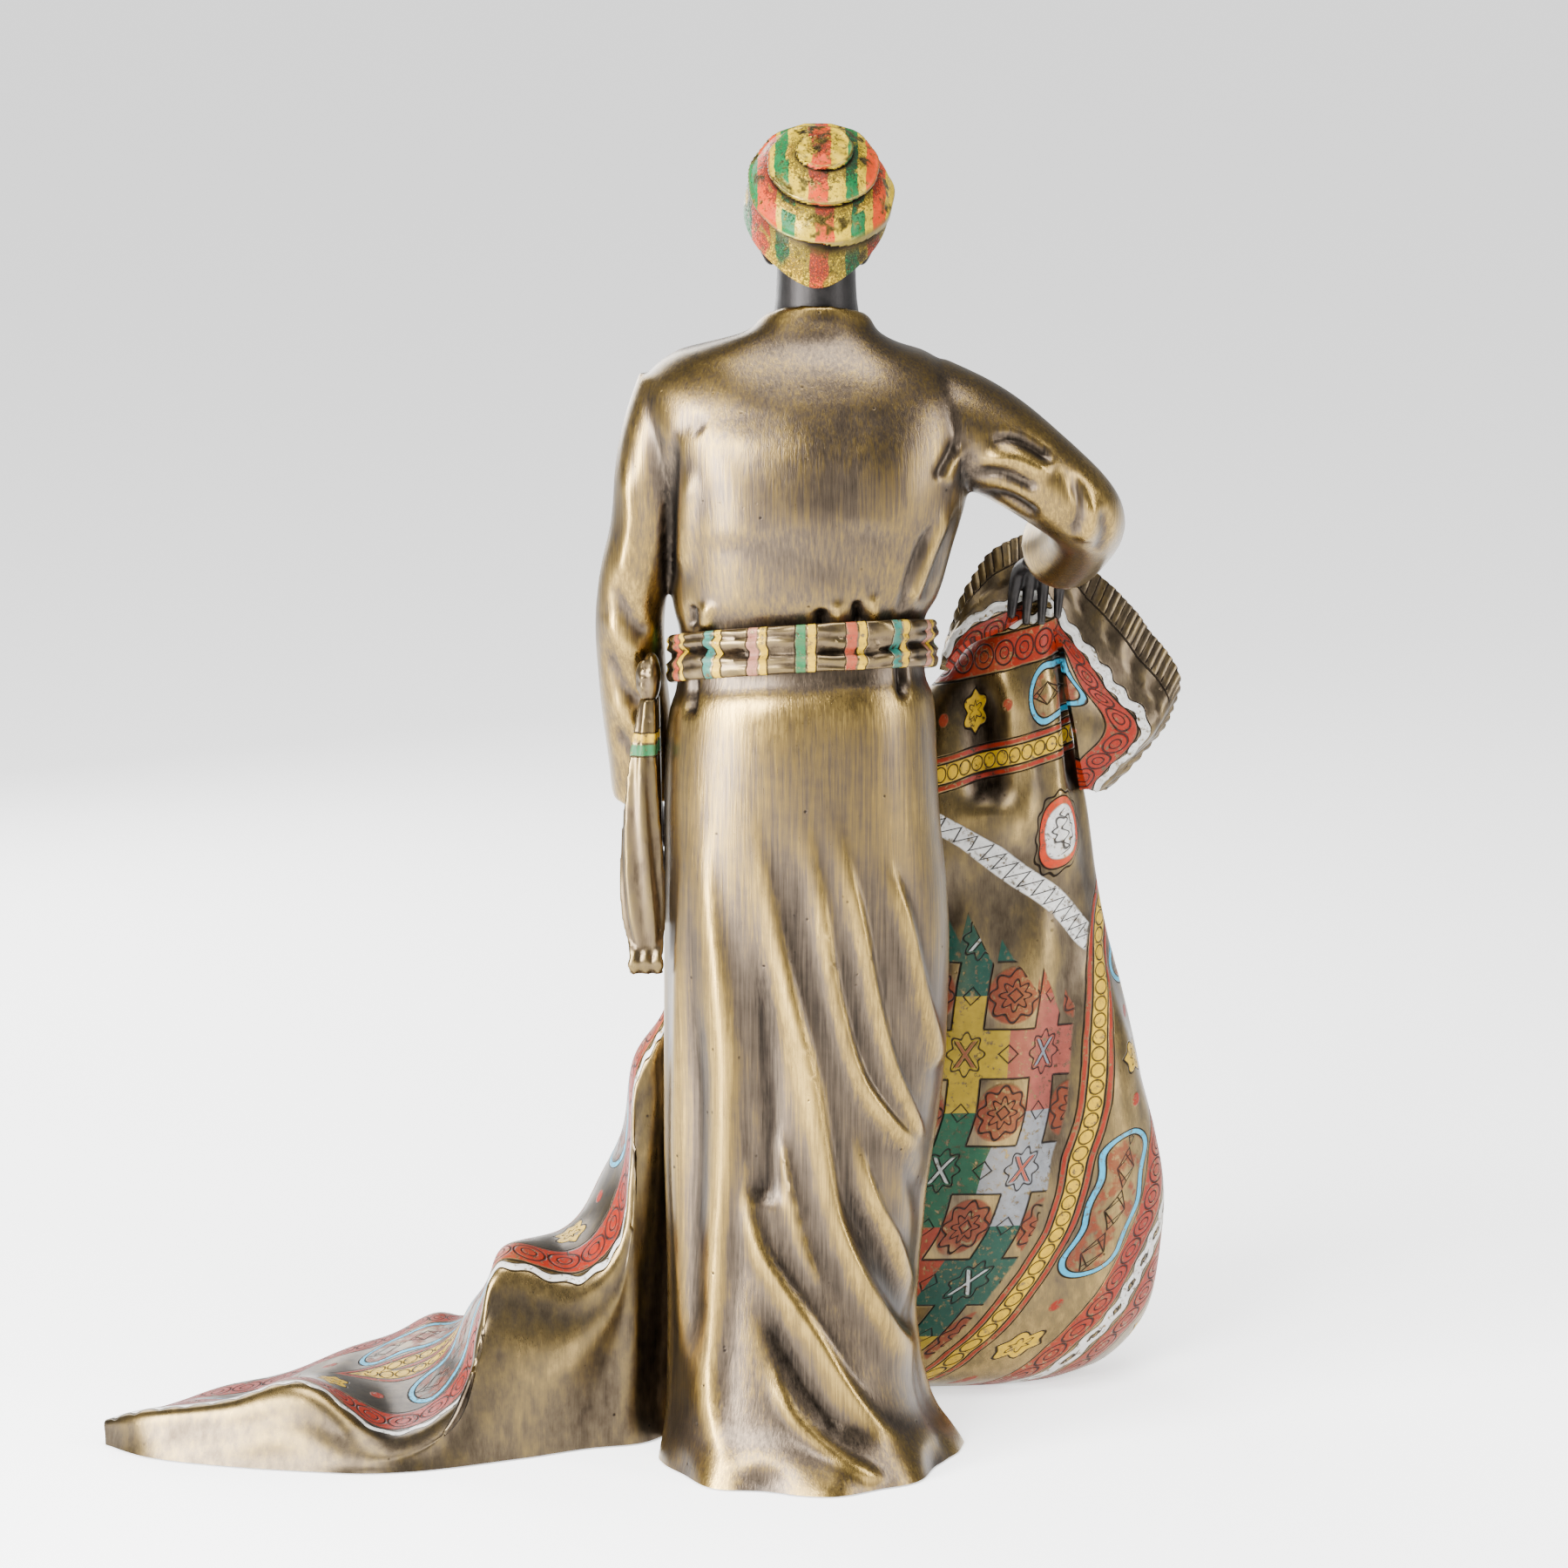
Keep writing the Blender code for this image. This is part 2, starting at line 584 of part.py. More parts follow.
def main():
    clear_scene()
    skirt, torso = robe_skirt(), robe_torso()
    left = sleeve("left_sleeve", LEFT_ARM, LEFT_ARM_R, LEFT_WRIST)
    right = sleeve("right_sleeve", RIGHT_ARM, RIGHT_ARM_R, RIGHT_WRIST)
    left_hand = hand("left_hand", [(-31.5, 12.6, 131), (-31, 15, 124.5), (-30.3, 19, 117.5),
                                   (-29.2, 22.5, 110)], [3.6, 3.4, 4.4, 2.6], 0.7)
    right_hand = hand("right_hand", [(50.4, 18, 175.7), (48.6, 23, 173.5), (45.8, 28.5, 171.6),
                                     (42, 33, 169.4)], [3.6, 3.4, 4.8, 3.4], 0.8)
    face = head()
    turban()
    sash()
    sash_ends()
    carpet = standing_carpet()
    trailing_carpet()
    carpet_end()
    dowel("neck_stud", (*NECK, 212), (*NECK, 230), STUD_R, (face,))
    dowel("left_shoulder_dowel", (-22, 0, 201), (-33, -1.5, 197), DOWEL_R, (torso, left))
    dowel("right_shoulder_dowel", (22, 0, 203), (38, -1.4, 197.5), DOWEL_R, (torso, right))
    tie_fixings()
    carpet_screw("carpet_screw_lower", 46, skirt, carpet)
    carpet_screw("carpet_screw_upper", 70, skirt, carpet)
    centre_on_footprint()


main()
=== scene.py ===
import math

import bpy
import numpy as np
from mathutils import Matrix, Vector


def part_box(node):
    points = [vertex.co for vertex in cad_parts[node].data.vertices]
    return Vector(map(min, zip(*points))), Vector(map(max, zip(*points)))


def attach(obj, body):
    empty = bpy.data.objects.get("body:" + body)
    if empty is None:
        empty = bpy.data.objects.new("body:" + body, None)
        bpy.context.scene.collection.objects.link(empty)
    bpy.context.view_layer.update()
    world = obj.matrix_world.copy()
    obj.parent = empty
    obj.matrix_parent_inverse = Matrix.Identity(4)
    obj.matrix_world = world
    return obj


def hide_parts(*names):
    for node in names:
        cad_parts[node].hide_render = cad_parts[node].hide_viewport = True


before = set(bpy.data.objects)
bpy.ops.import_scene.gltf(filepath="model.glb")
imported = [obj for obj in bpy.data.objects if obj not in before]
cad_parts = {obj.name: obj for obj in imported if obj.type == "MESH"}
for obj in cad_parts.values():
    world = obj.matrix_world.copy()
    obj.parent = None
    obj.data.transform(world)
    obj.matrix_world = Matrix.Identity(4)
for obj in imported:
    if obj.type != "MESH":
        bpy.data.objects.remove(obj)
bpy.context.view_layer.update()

# Sizes below are millimetres in the figure's own frame: x to its right hand, y the way it faces,
# z up from the table, with x = y = 0 on the axis of the body. The neck stud gives its place.
mm = 0.001
studLow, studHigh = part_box("neck_stud")
studX, studY = 1.9, 1.2
shift = np.array([(studLow.x + studHigh.x) / 2 - studX * mm,
                  (studLow.y + studHigh.y) / 2 - studY * mm, 0.0])


def deselectAll():
    bpy.ops.object.select_all(action="DESELECT")


def makeActive(piece):
    deselectAll()
    piece.select_set(True)
    bpy.context.view_layer.objects.active = piece


def inEditMode(piece, *steps):
    makeActive(piece)
    bpy.ops.object.mode_set(mode="EDIT")
    bpy.ops.mesh.select_all(action="SELECT")
    for step in steps:
        step()
    bpy.ops.object.mode_set(mode="OBJECT")


def settle(piece):  # puts the object's place, turn and size into its mesh
    makeActive(piece)
    bpy.ops.object.transform_apply(location=True, rotation=True, scale=True)


def applyAll(piece):
    makeActive(piece)
    for modifier in list(piece.modifiers):
        bpy.ops.object.modifier_apply(modifier=modifier.name)


def softShade(piece, angle=50):
    makeActive(piece)
    bpy.ops.object.shade_smooth_by_angle(angle=math.radians(angle))


def readAll(items, field, width, kind=np.float32):
    flat = np.empty(len(items) * width, kind)
    items.foreach_get(field, flat)
    return flat.reshape(-1, width)


def points(piece):  # vertices in the figure's millimetres
    return (readAll(piece.data.vertices, "co", 3).astype(float) - shift) / mm


def setPoints(piece, places):
    piece.data.vertices.foreach_set("co", (places * mm + shift).astype(np.float32).ravel())
    piece.data.update()


def normals(piece):
    return readAll(piece.data.vertices, "normal", 3).astype(float)


def edgesOf(piece):
    return readAll(piece.data.edges, "vertices", 2, np.int32)


def averaged(values, edges, count, rounds):  # spreads values along the mesh
    share = 0.7  # how far a value moves to its neighbours' average
    degree = np.maximum(np.bincount(edges.ravel(), minlength=count), 1)
    values = values.copy()
    for _ in range(rounds):
        for k in range(values.shape[1]):
            column = values[:, k]
            total = np.bincount(edges[:, 0], weights=column[edges[:, 1]], minlength=count)
            total += np.bincount(edges[:, 1], weights=column[edges[:, 0]], minlength=count)
            values[:, k] = column * (1 - share) + share * total / degree
    return values


def relax(piece, rounds):
    places = points(piece)
    setPoints(piece, averaged(places, edgesOf(piece), len(places), rounds))


def setAttribute(piece, name, values):
    layer = piece.data.attributes.get(name) or piece.data.attributes.new(name, "FLOAT", "POINT")
    layer.data.foreach_set("value", values.astype(np.float32))


reliefSize = {"fine": 0.06, "broad": 0.7}  # millimetres that count as fully raised
weldReach = 0.00002  # metres within which doubled points are one


def markRelief(piece, fineRounds=5, broadRounds=45):
    # how far each point stands out of its smoothed surroundings: the polished and the dark places
    places, edges, away = points(piece), edgesOf(piece), normals(piece)
    near = averaged(places, edges, len(places), fineRounds)
    far = averaged(near, edges, len(places), broadRounds)
    setAttribute(piece, "fineRelief", ((places - near) * away).sum(axis=1) / reliefSize["fine"])
    setAttribute(piece, "broadRelief", ((near - far) * away).sum(axis=1) / reliefSize["broad"])


def curve(control, count):  # smooth curve through the points, any number of columns
    control = np.asarray(control, float)
    padded = np.vstack([2 * control[0] - control[1], control, 2 * control[-1] - control[-2]])
    places = np.linspace(0, len(control) - 1, count)
    first = np.minimum(places.astype(int), len(control) - 2)
    t = (places - first)[:, None]
    a, b, c, d = (padded[first + k] for k in range(4))
    return (0.5 * (2 * b + (c - a) * t + (2 * a - 5 * b + 4 * c - d) * t**2
                   + (3 * b - a - 3 * c + d) * t**3))


def along(table, position):  # columns of a table of rows, read smoothly by its first column
    table = np.asarray(table, float)
    fine = curve(table, 40 * len(table))
    keys = np.maximum.accumulate(fine[:, 0])
    return [np.interp(position, keys, fine[:, k]) for k in range(1, table.shape[1])]


def rise(value, start, end):
    t = np.clip((value - start) / (end - start), 0, 1)
    return t * t * (3 - 2 * t)


def strokes(across, up, lines):
    # ridges (positive height) and valleys drawn as lines: (height, width, (across, up), ...)
    total = np.zeros_like(across)
    for height, width, *route in lines:
        route = curve(route, 24) if len(route) > 2 else np.asarray(route, float)
        best = np.full_like(across, 1e9)
        share, side = np.zeros_like(across), np.zeros_like(across)
        for k in range(len(route) - 1):
            (ax, ay), (bx, by) = route[k], route[k + 1]
            length = max((bx - ax) ** 2 + (by - ay) ** 2, 1e-9)
            t = np.clip(((across - ax) * (bx - ax) + (up - ay) * (by - ay)) / length, 0, 1)
            distance = (across - ax - t * (bx - ax)) ** 2 + (up - ay - t * (by - ay)) ** 2
            closer = distance < best
            best = np.where(closer, distance, best)
            share = np.where(closer, (k + t) / (len(route) - 1), share)
            side = np.where(closer, (across - ax) * (ay - by) + (up - ay) * (bx - ax), side)
        reach = width if np.isscalar(width) else np.where(side > 0, width[1], width[0])
        taper = rise(share, -0.02, 0.3) * rise(1 - share, -0.02, 0.16)
        total += height * taper * np.exp(-best / (reach * reach))
    return total


def wrapSheet(name, columns, rows, place, closed=True):
    # a grid bent into its place; closed joins its first column to its last
    deselectAll()
    bpy.ops.mesh.primitive_grid_add(x_subdivisions=columns, y_subdivisions=rows, size=2)
    piece = bpy.context.object
    piece.name = piece.data.name = name
    flat = readAll(piece.data.vertices, "co", 3)
    setPoints(piece, place((flat[:, 0] + 1) / 2, (flat[:, 1] + 1) / 2))
    if closed:
        inEditMode(piece, lambda: bpy.ops.mesh.remove_doubles(threshold=weldReach))
    return piece


def recalculate(piece):
    inEditMode(piece, lambda: bpy.ops.mesh.normals_make_consistent(inside=False))


def thicken(piece, wall, offset=-1):
    solid = piece.modifiers.new("wall", "SOLIDIFY")
    solid.thickness = wall * mm
    solid.offset = offset
    applyAll(piece)


def closeEnds(piece):
    inEditMode(piece, lambda: bpy.ops.mesh.fill_holes(sides=0))
    recalculate(piece)


def ballAt(name, centre, size, turn=(0, 0, 0), detail=32):
    deselectAll()
    place = np.array(centre) * mm + shift
    bpy.ops.mesh.primitive_uv_sphere_add(segments=detail, ring_count=detail // 2, radius=1,
                                         location=place, rotation=[math.radians(a) for a in turn],
                                         scale=[s * mm for s in size])
    piece = bpy.context.object
    piece.name = name
    settle(piece)
    return piece


def tubeAlong(name, route, sizes, sides=24, levels=24):
    # a round limb: sizes are its radii at the route's points
    route = curve(route, levels)
    sizes = curve([[s] for s in sizes], levels)[:, 0]
    tangents = np.gradient(route, axis=0)
    tangents /= np.linalg.norm(tangents, axis=1)[:, None]
    frames = []
    side = np.array([0.0, 1.0, 0.0])
    for tangent in tangents:
        side = side - tangent * side.dot(tangent)
        side /= np.linalg.norm(side)
        frames.append((side, np.cross(tangent, side)))

    def place(u, v):
        k = np.minimum((v * (levels - 1)).round().astype(int), levels - 1)
        turn = u * 2 * math.pi
        one, two = np.array(frames)[k].transpose(1, 0, 2)
        return (route[k] + one * (sizes[k] * np.cos(turn))[:, None]
                + two * (sizes[k] * np.sin(turn))[:, None])

    piece = wrapSheet(name, sides, levels - 1, place)
    closeEnds(piece)
    return piece


def fuse(name, parts, grain, rounds):
    # melts overlapping parts into one cast skin
    makeActive(parts[0])
    for part in parts:
        part.select_set(True)
    bpy.ops.object.join()
    piece = bpy.context.object
    piece.name = piece.data.name = name
    remesh = piece.modifiers.new("skin", "REMESH")
    remesh.mode = "VOXEL"
    remesh.voxel_size = grain * mm
    applyAll(piece)
    if rounds:
        relax(piece, rounds)
    return piece


def finishPiece(piece, material, slot, *nodes, angle=50):
    places = points(piece)
    if places[:, 2].min() < 0:  # nothing goes below the table
        places[:, 2] = np.maximum(places[:, 2], 0)
        setPoints(piece, places)
    piece.data.materials.clear()
    piece.data.materials.append(material)
    softShade(piece, angle)
    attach(piece, "root")
    if nodes:
        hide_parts(*nodes)
    print("made", piece.name, len(piece.data.polygons), "faces")


class Wire:
    def __init__(self, tree, socket=None):
        self.tree = tree
        self.socket = socket

    def add(self, kind, settings, sockets, out=0):
        node = self.tree.nodes.new(kind)
        for name, value in settings.items():
            if name == "stops":
                ramp = node.color_ramp
                ramp.interpolation = settings.get("easing", "LINEAR")
                while len(ramp.elements) < len(value):
                    ramp.elements.new(0.5)
                for element, (position, colour) in zip(ramp.elements, value):
                    element.position = position
                    element.color = (*colour, 1)
            elif name != "easing":
                setattr(node, name, value)
        plug(node, sockets)
        return Wire(self.tree, node.outputs[out])

    def maths(self, operation, *others):
        return self.add("ShaderNodeMath", {"operation": operation},
                        dict(enumerate((self, *others))))

    def __add__(self, other):
        return self.maths("ADD", other)

    def __sub__(self, other):
        return self.maths("SUBTRACT", other)

    def __rsub__(self, other):
        return self.maths("MULTIPLY_ADD", -1.0, other)

    def __mul__(self, other):
        return self.maths("MULTIPLY", other)

    def __truediv__(self, other):
        return self.maths("DIVIDE", other)

    def __abs__(self):
        return self.maths("ABSOLUTE")

    __radd__ = __add__
    __rmul__ = __mul__

    def largest(self, other):
        return self.maths("MAXIMUM", other)

    def wave(self):
        return self.maths("SINE")

    def cosine(self):
        return self.maths("COSINE")

    def whole(self):
        return self.maths("FLOOR")

    def rest(self):
        return self.maths("FRACT")

    def length(self, other):
        return (self * self + other * other).maths("SQRT")

    def ramp(self, stops, easing="LINEAR"):
        return self.add("ShaderNodeValToRGB", {"stops": stops, "easing": easing}, {0: self})

    def below(self, edge, blur):  # 1 where the value is under the edge, with a soft border
        return self.add("ShaderNodeMapRange", {"interpolation_type": "SMOOTHSTEP"},
                        {"Value": self, "From Min": edge - blur, "From Max": edge + blur,
                         "To Min": 1.0, "To Max": 0.0})

    def within(self, centre, half, blur=0.12):
        return abs(self - centre).below(half, blur)

    def mix(self, one, two):  # this value is the share of the second colour
        return self.add("ShaderNodeMix", {"data_type": "RGBA"}, {0: self, 6: one, 7: two}, 2)


def colour(*rgb):
    return (*rgb, 1.0)


def startMaterial(name):
    material = bpy.data.materials.new(name)
    material.use_nodes = True
    tree = material.node_tree
    shader = tree.nodes["Principled BSDF"]
    base = Wire(tree)
    spot = base.add("ShaderNodeTexCoord", {}, {}, 3)
    scaled = base.add("ShaderNodeMapping", {}, {"Vector": spot, "Location": tuple(-shift / mm),
                                                 "Scale": (1 / mm,) * 3})
    return material, shader, base, scaled


def stretched(spot, scale, turn=(0, 0, 0)):
    return spot.add("ShaderNodeMapping", {}, {"Vector": spot, "Scale": scale,
                                              "Rotation": tuple(math.radians(a) for a in turn)})


def noise(spot, scale, detail=3.0, rough=0.55):
    return spot.add("ShaderNodeTexNoise", {}, {"Vector": spot, "Scale": scale, "Detail": detail,
                                               "Roughness": rough})


def attribute(base, name):
    return base.add("ShaderNodeAttribute", {"attribute_name": name}, {}, 2)


def pitsIn(spot, scale, share, salt):  # small casting pits, only in some of the cells
    where = stretched(spot, (1, 1, 1), (salt, 2 * salt, 0))
    distance = where.add("ShaderNodeTexVoronoi", {}, {"Vector": where, "Scale": scale})
    chosen = noise(where, scale * 0.37, 1.0)
    return distance.below(0.13, 0.07) * (1 - chosen.below(1 - share, 0.02))


def plug(node, sockets):
    for key, value in sockets.items():
        if isinstance(value, Wire):
            node.id_data.links.new(value.socket, node.inputs[key])
        else:
            node.inputs[key].default_value = value


def bump(base, height, depth, strength):
    return base.add("ShaderNodeBump", {},
                    {"Height": height, "Distance": depth * mm, "Strength": strength})


bronzeLook = {
    "dark": (0.009, 0.0065, 0.0045), "brown": (0.03, 0.0225, 0.016), "taupe": (0.064, 0.047, 0.032),
    "khaki": (0.13, 0.086, 0.028), "gold": (0.27, 0.178, 0.05),
    "grain": (1.9, 1.9, 0.05), "lean": (0, 4, 0),
}


def bronzeBody(base, spot, look=bronzeLook):
    # brushed bronze: bright on ridges, brown in hollows, with streaks down the piece
    streak = noise(stretched(spot, look["grain"], look["lean"]), 1.0, 4.0, 0.6)
    fineStreak = noise(stretched(spot, (5.5, 5.5, 0.16), look["lean"]), 1.0, 2.0, 0.5)
    cloud = noise(spot, 0.045, 3.0)
    mottle = noise(spot, 0.35, 4.0, 0.6)
    relief = attribute(base, "broadRelief").maths("TANH")
    wear = (0.47 + 0.42 * relief + 0.08 * attribute(base, "fineRelief").maths("TANH")
            + 0.75 * (streak - 0.5) + 0.25 * (fineStreak - 0.5) + 0.5 * (cloud - 0.5)
            + 0.22 * (mottle - 0.5))
    tone = wear.ramp([(0.0, look["dark"]), (0.22, look["brown"]), (0.46, look["taupe"]),
                      (0.7, look["khaki"]), (0.95, look["gold"])])
    pits = pitsIn(spot, 0.42, 0.34, 17)
    tone = pits.mix(tone, colour(0.012, 0.009, 0.007))
    rough = 0.37 - 0.1 * wear + 0.14 * (fineStreak - 0.5) + 0.12 * (mottle - 0.5) + 0.25 * pits
    height = 0.5 * streak + 0.35 * fineStreak - 0.8 * pits
    return tone, rough, bump(base, height, 0.09, 0.75), wear


def makeBronze():
    material, shader, base, spot = startMaterial("brushedBronze")
    tone, rough, normal, _ = bronzeBody(base, spot)
    plug(shader, {"Base Color": tone, "Roughness": rough, "Normal": normal, "Metallic": 1.0,
                  "Coat Weight": 0.08, "Coat Roughness": 0.25})
    return material


def makeDarkSkin():
    material, shader, base, spot = startMaterial("darkPatina")
    cloud = noise(spot, 0.3, 4.0, 0.6)
    worn = 0.35 + 0.35 * attribute(base, "broadRelief") + 0.6 * (cloud - 0.5)
    tone = worn.ramp([(0.0, (0.004, 0.0035, 0.0035)), (0.45, (0.014, 0.0125, 0.012)),
                      (1.0, (0.08, 0.07, 0.062))])
    rough = 0.46 + 0.3 * (cloud - 0.5)
    plug(shader, {"Base Color": tone, "Roughness": rough, "Metallic": 0.85,
                  "Normal": bump(base, noise(spot, 1.6, 3.0), 0.05, 0.6)})
    return material


bronze = makeBronze()
darkSkin = makeDarkSkin()
print("base materials made")


skirt = {
    "rows": [(0, -28.5, 28.5, -32, 18.5), (4, -28, 26.5, -30, 19), (12, -27, 22.5, -26, 19.5),
             (28, -26.5, 20.3, -23, 20), (50, -26.6, 22.3, -20.5, 20.3), (75, -27, 26, -19.5, 20.3),
             (102, -27, 27.5, -19.5, 20), (128, -27, 25.6, -20, 19), (146, -26, 24.8, -19.5, 17),
             (152, -24.6, 23, -17.6, 15.8), (158, -24, 22.6, -17, 15.5)],
    "roundness": 2.3, "wall": 2.2, "columns": 230, "levels": 190,
    # height, width (or widths to its left and right), then the fold's course as (across, up)
    "folds": [
        (1.9, (4.2, 2.0), (-19.6, 128), (-18.8, 116), (-16.2, 98.8), (-14.7, 81.4), (-14.9, 66),
         (-16, 49.7),
         (-17.3, 33.1), (-18, 14.6), (-14.2, 0)),
        (2.0, (3.2, 1.3), (-10.8, 131), (-6.2, 111.7), (-2.5, 94.4), (0.6, 81.4), (3.3, 66.1),
         (5.4, 54.1), (8.7, 44.2),
         (14, 33.1), (19.3, 23.6), (24.6, 14)),
        (1.3, (2.4, 0.9), (-0.4, 130), (2.7, 114.9), (4.8, 100.9), (7, 90.1), (10.7, 78.2),
         (17.1, 68.3), (22.3, 61)),
        (1.4, (2.2, 0.9), (5.6, 129), (9.8, 111.7), (13, 94.4), (16.2, 81.4), (20.2, 70.5),
         (22.8, 62.5)),
        (1.2, (2.2, 1.0), (15.2, 122), (19, 109.6), (22.2, 94.4), (24.9, 83.6), (25.9, 77)),
        (1.3, (1.9, 0.9), (8.9, 69), (12.9, 55.2), (17.2, 45.3), (20.2, 34.2), (21.6, 26.6)),
        (1.3, (3.0, 1.2), (-13.6, 76), (-11.4, 58), (-8.9, 46.4), (-3.6, 37.6), (2.3, 28.7),
         (7.6, 19.6), (14, 11), (21, 5)),
        (0.8, (1.6, 0.6), (-5.3, 71), (-3.3, 59.6), (-0.9, 48.6), (2.8, 37.5)),
        (1.1, (1.8, 1.0), (-7.2, 24), (-2, 13.6), (6.5, 6.7), (16.1, 1)),
        (0.9, (1.2, 2.0), (-23, 128), (-24.1, 98.8), (-24.8, 66), (-24.3, 44), (-23, 14)),
        (-1.1, 2.6, (-9.5, 106), (-7.6, 84), (-6.4, 62), (-9, 54)),
        (-1.0, 2.4, (-20.6, 96), (-20.4, 58), (-20.6, 22)),
        (-1.0, 2.2, (6.8, 58), (14.5, 42), (21, 24)), (-1.1, 2.0, (-9.4, 36), (-2, 22), (7.4, 9)),
        (-0.9, 1.6, (18.9, 62), (23, 48), (24, 36)),
        (-1.7, 0.9, (-21.4, 158), (-21.7, 152), (-22.2, 146.5)),
        (-1.5, 0.9, (17.9, 158), (18.3, 152), (18.6, 148)),
    ],
}


def waistTilt(x, y):
    return 0.06 * x - 0.2 * y


def oval(reach, angle, roundness):  # a rounded outline that reaches left, right, back and front
    left, right, back, front = reach
    c, s = np.cos(angle), np.sin(angle)
    x = np.where(c < 0, -left, right) * np.sign(c) * np.abs(c) ** (2 / roundness)
    y = np.where(s < 0, -back, front) * np.sign(s) * np.abs(s) ** (2 / roundness)
    return x, y, c, s


def placeSkirt(u, v):
    top = skirt["rows"][-1][0]
    z = top * v ** 1.06
    angle = math.pi / 2 - 2 * math.pi * u
    x, y, c, s = oval(along(skirt["rows"], z), angle, skirt["roundness"])
    behind = rise(-s, -0.1, 0.35)
    out = behind * strokes(x, z, skirt["folds"])
    depth = 1.5 * rise(z, 122, 20) + 0.25
    lean = angle * 11 + 0.02 * z
    out += (1 - behind) * depth * (np.cos(lean) - 0.35 * np.cos(2.1 * lean + 1))
    out += 0.12 * np.sin(x * 0.31 + z * 0.05) * np.cos(z * 0.11)  # hand-worked surface
    out *= 1 - rise(z, 152, 158) * 0.6
    flare = rise(z, 7, 0)
    out += flare * (0.9 * np.cos(9 * angle + 0.7) + 0.6 * np.cos(5 * angle))
    x = x + c * out
    y = y + s * out
    z = z + rise(z, 118, 158) * waistTilt(x, y)
    return np.stack([x, y, z], axis=1)


def makeSkirt():
    piece = wrapSheet("robeSkirt", skirt["columns"], skirt["levels"], placeSkirt)
    recalculate(piece)
    markRelief(piece)
    thicken(piece, skirt["wall"])
    finishPiece(piece, bronze, "bronze", "robe_skirt")


upper = {
    "rows": [(158.8, -24, 22.6, -17, 15.5), (163.5, -24.2, 22.8, -17.2, 15.7),
             (168, -25.3, 25.2, -18.6, 16.5), (178, -26, 28, -19.8, 17),
             (188, -27, 30.5, -20.6, 18), (198, -29, 32, -20, 18), (205, -31, 31.5, -18, 16.8),
             (210.5, -30.5, 29, -15.5, 14.8), (214.8, -26, 24, -13, 12.5),
             (218, -18.5, 17.5, -10.6, 11), (221, -11.5, 13.6, -9.3, 10.6),
             (224.5, -8.6, 12.3, -7.8, 10.6)],
    "roundness": 2.3, "grain": 0.62, "smoothing": 5,
    "leftArm": [(-24, 0, 208.5), (-28.4, -0.5, 197), (-30.6, 0.5, 182), (-33.4, 3, 168),
                (-33.5, 6.5, 154), (-32.2, 10, 141), (-31.2, 13.6, 128)],
    "leftSizes": (8.2, 7.4, 6.8, 6.7, 6.6, 6.7, 6.4),
    "rightArm": [(22, 0, 204), (32, -1, 200), (43, -2, 193), (51, -1, 186.5), (53.6, 5, 182),
                 (52.4, 13, 178), (49.6, 21, 174.5)],
    "rightSizes": (11, 10.3, 9, 8, 7.4, 7.6, 8.4),
    "bore": 5.3, "boreDepth": 9,
    "partAt": {"left": -25.5, "right": 29.0},
    "folds": [
        (-1.1, 1.1, (-24.6, 203), (-25.2, 194), (-25.6, 184), (-26.2, 168)),
        (0.8, 1.6, (-21.8, 196), (-22.6, 186), (-23.3, 174)),
        (-0.35, 1.8, (-24.5, 200), (-21.8, 203.5), (-19.4, 202)),
        (-0.8, 0.8, (28.2, 200.8), (26.4, 197), (24.1, 193.2)),
        (0.6, 1.3, (30, 200), (28, 196), (26, 192)),
        (-1.1, 1.3, (30.1, 189), (26.1, 178.3), (22, 168.3)),
        (0.9, 1.5, (27.4, 189), (23.2, 178.5), (19.6, 169)),
        (-0.8, 1.1, (24.4, 186), (20.4, 177), (17.4, 167)),
        (-0.25, 7.0, (6.5, 208), (7.5, 196), (7, 184), (6, 172)),
        (0.4, 8.0, (-12.5, 206), (-13, 194), (-12, 180)),
        (0.35, 8.0, (15.5, 206), (16, 194), (14, 182)),
        (-1.2, 0.8, (-21.6, 169), (-21.3, 164)), (-1.2, 0.8, (2.6, 169.5), (2.9, 164.4)),
        (-1.3, 0.8, (9.4, 171), (9.9, 165)), (0.9, 1.3, (-18.6, 170), (-18.9, 164)),
        (0.8, 1.2, (5.6, 171), (6.1, 165)), (0.8, 1.2, (12.6, 172), (12.8, 165)),
    ],
    "armFolds": [
        (-1.0, 1.0, (31, 193.5), (37, 193.6), (44, 190.5)),
        (0.9, 1.4, (32, 196.2), (39, 196.6), (46, 193.6)),
        (-1.1, 1.0, (34, 200.4), (40, 200), (46.5, 196)),
        (-0.9, 1.2, (32, 189), (38, 188.5), (44, 185)),
        (-0.8, 1.2, (50, 193.8), (51.8, 187), (50.6, 181.5)),
        (0.8, 1.5, (53.6, 189.5), (53.6, 184), (52.4, 179.5)),
        (-0.8, 1.1, (55.8, 187), (56.6, 182), (55.2, 177)),
        (-0.7, 1.4, (-36.8, 172), (-33.6, 165), (-30.4, 161)),
        (0.7, 1.6, (-38, 166), (-35, 160), (-31, 157)),
        (-0.8, 1.3, (-38.2, 159), (-35.4, 152), (-31.6, 147)),
        (0.6, 1.5, (-37.4, 150), (-34, 144), (-29.8, 141)),
        (-0.7, 1.2, (-36.4, 143.5), (-34, 137.5), (-30, 134)),
        (0.6, 1.4, (-34.6, 196), (-33.4, 184), (-35.4, 172)),
    ],
}


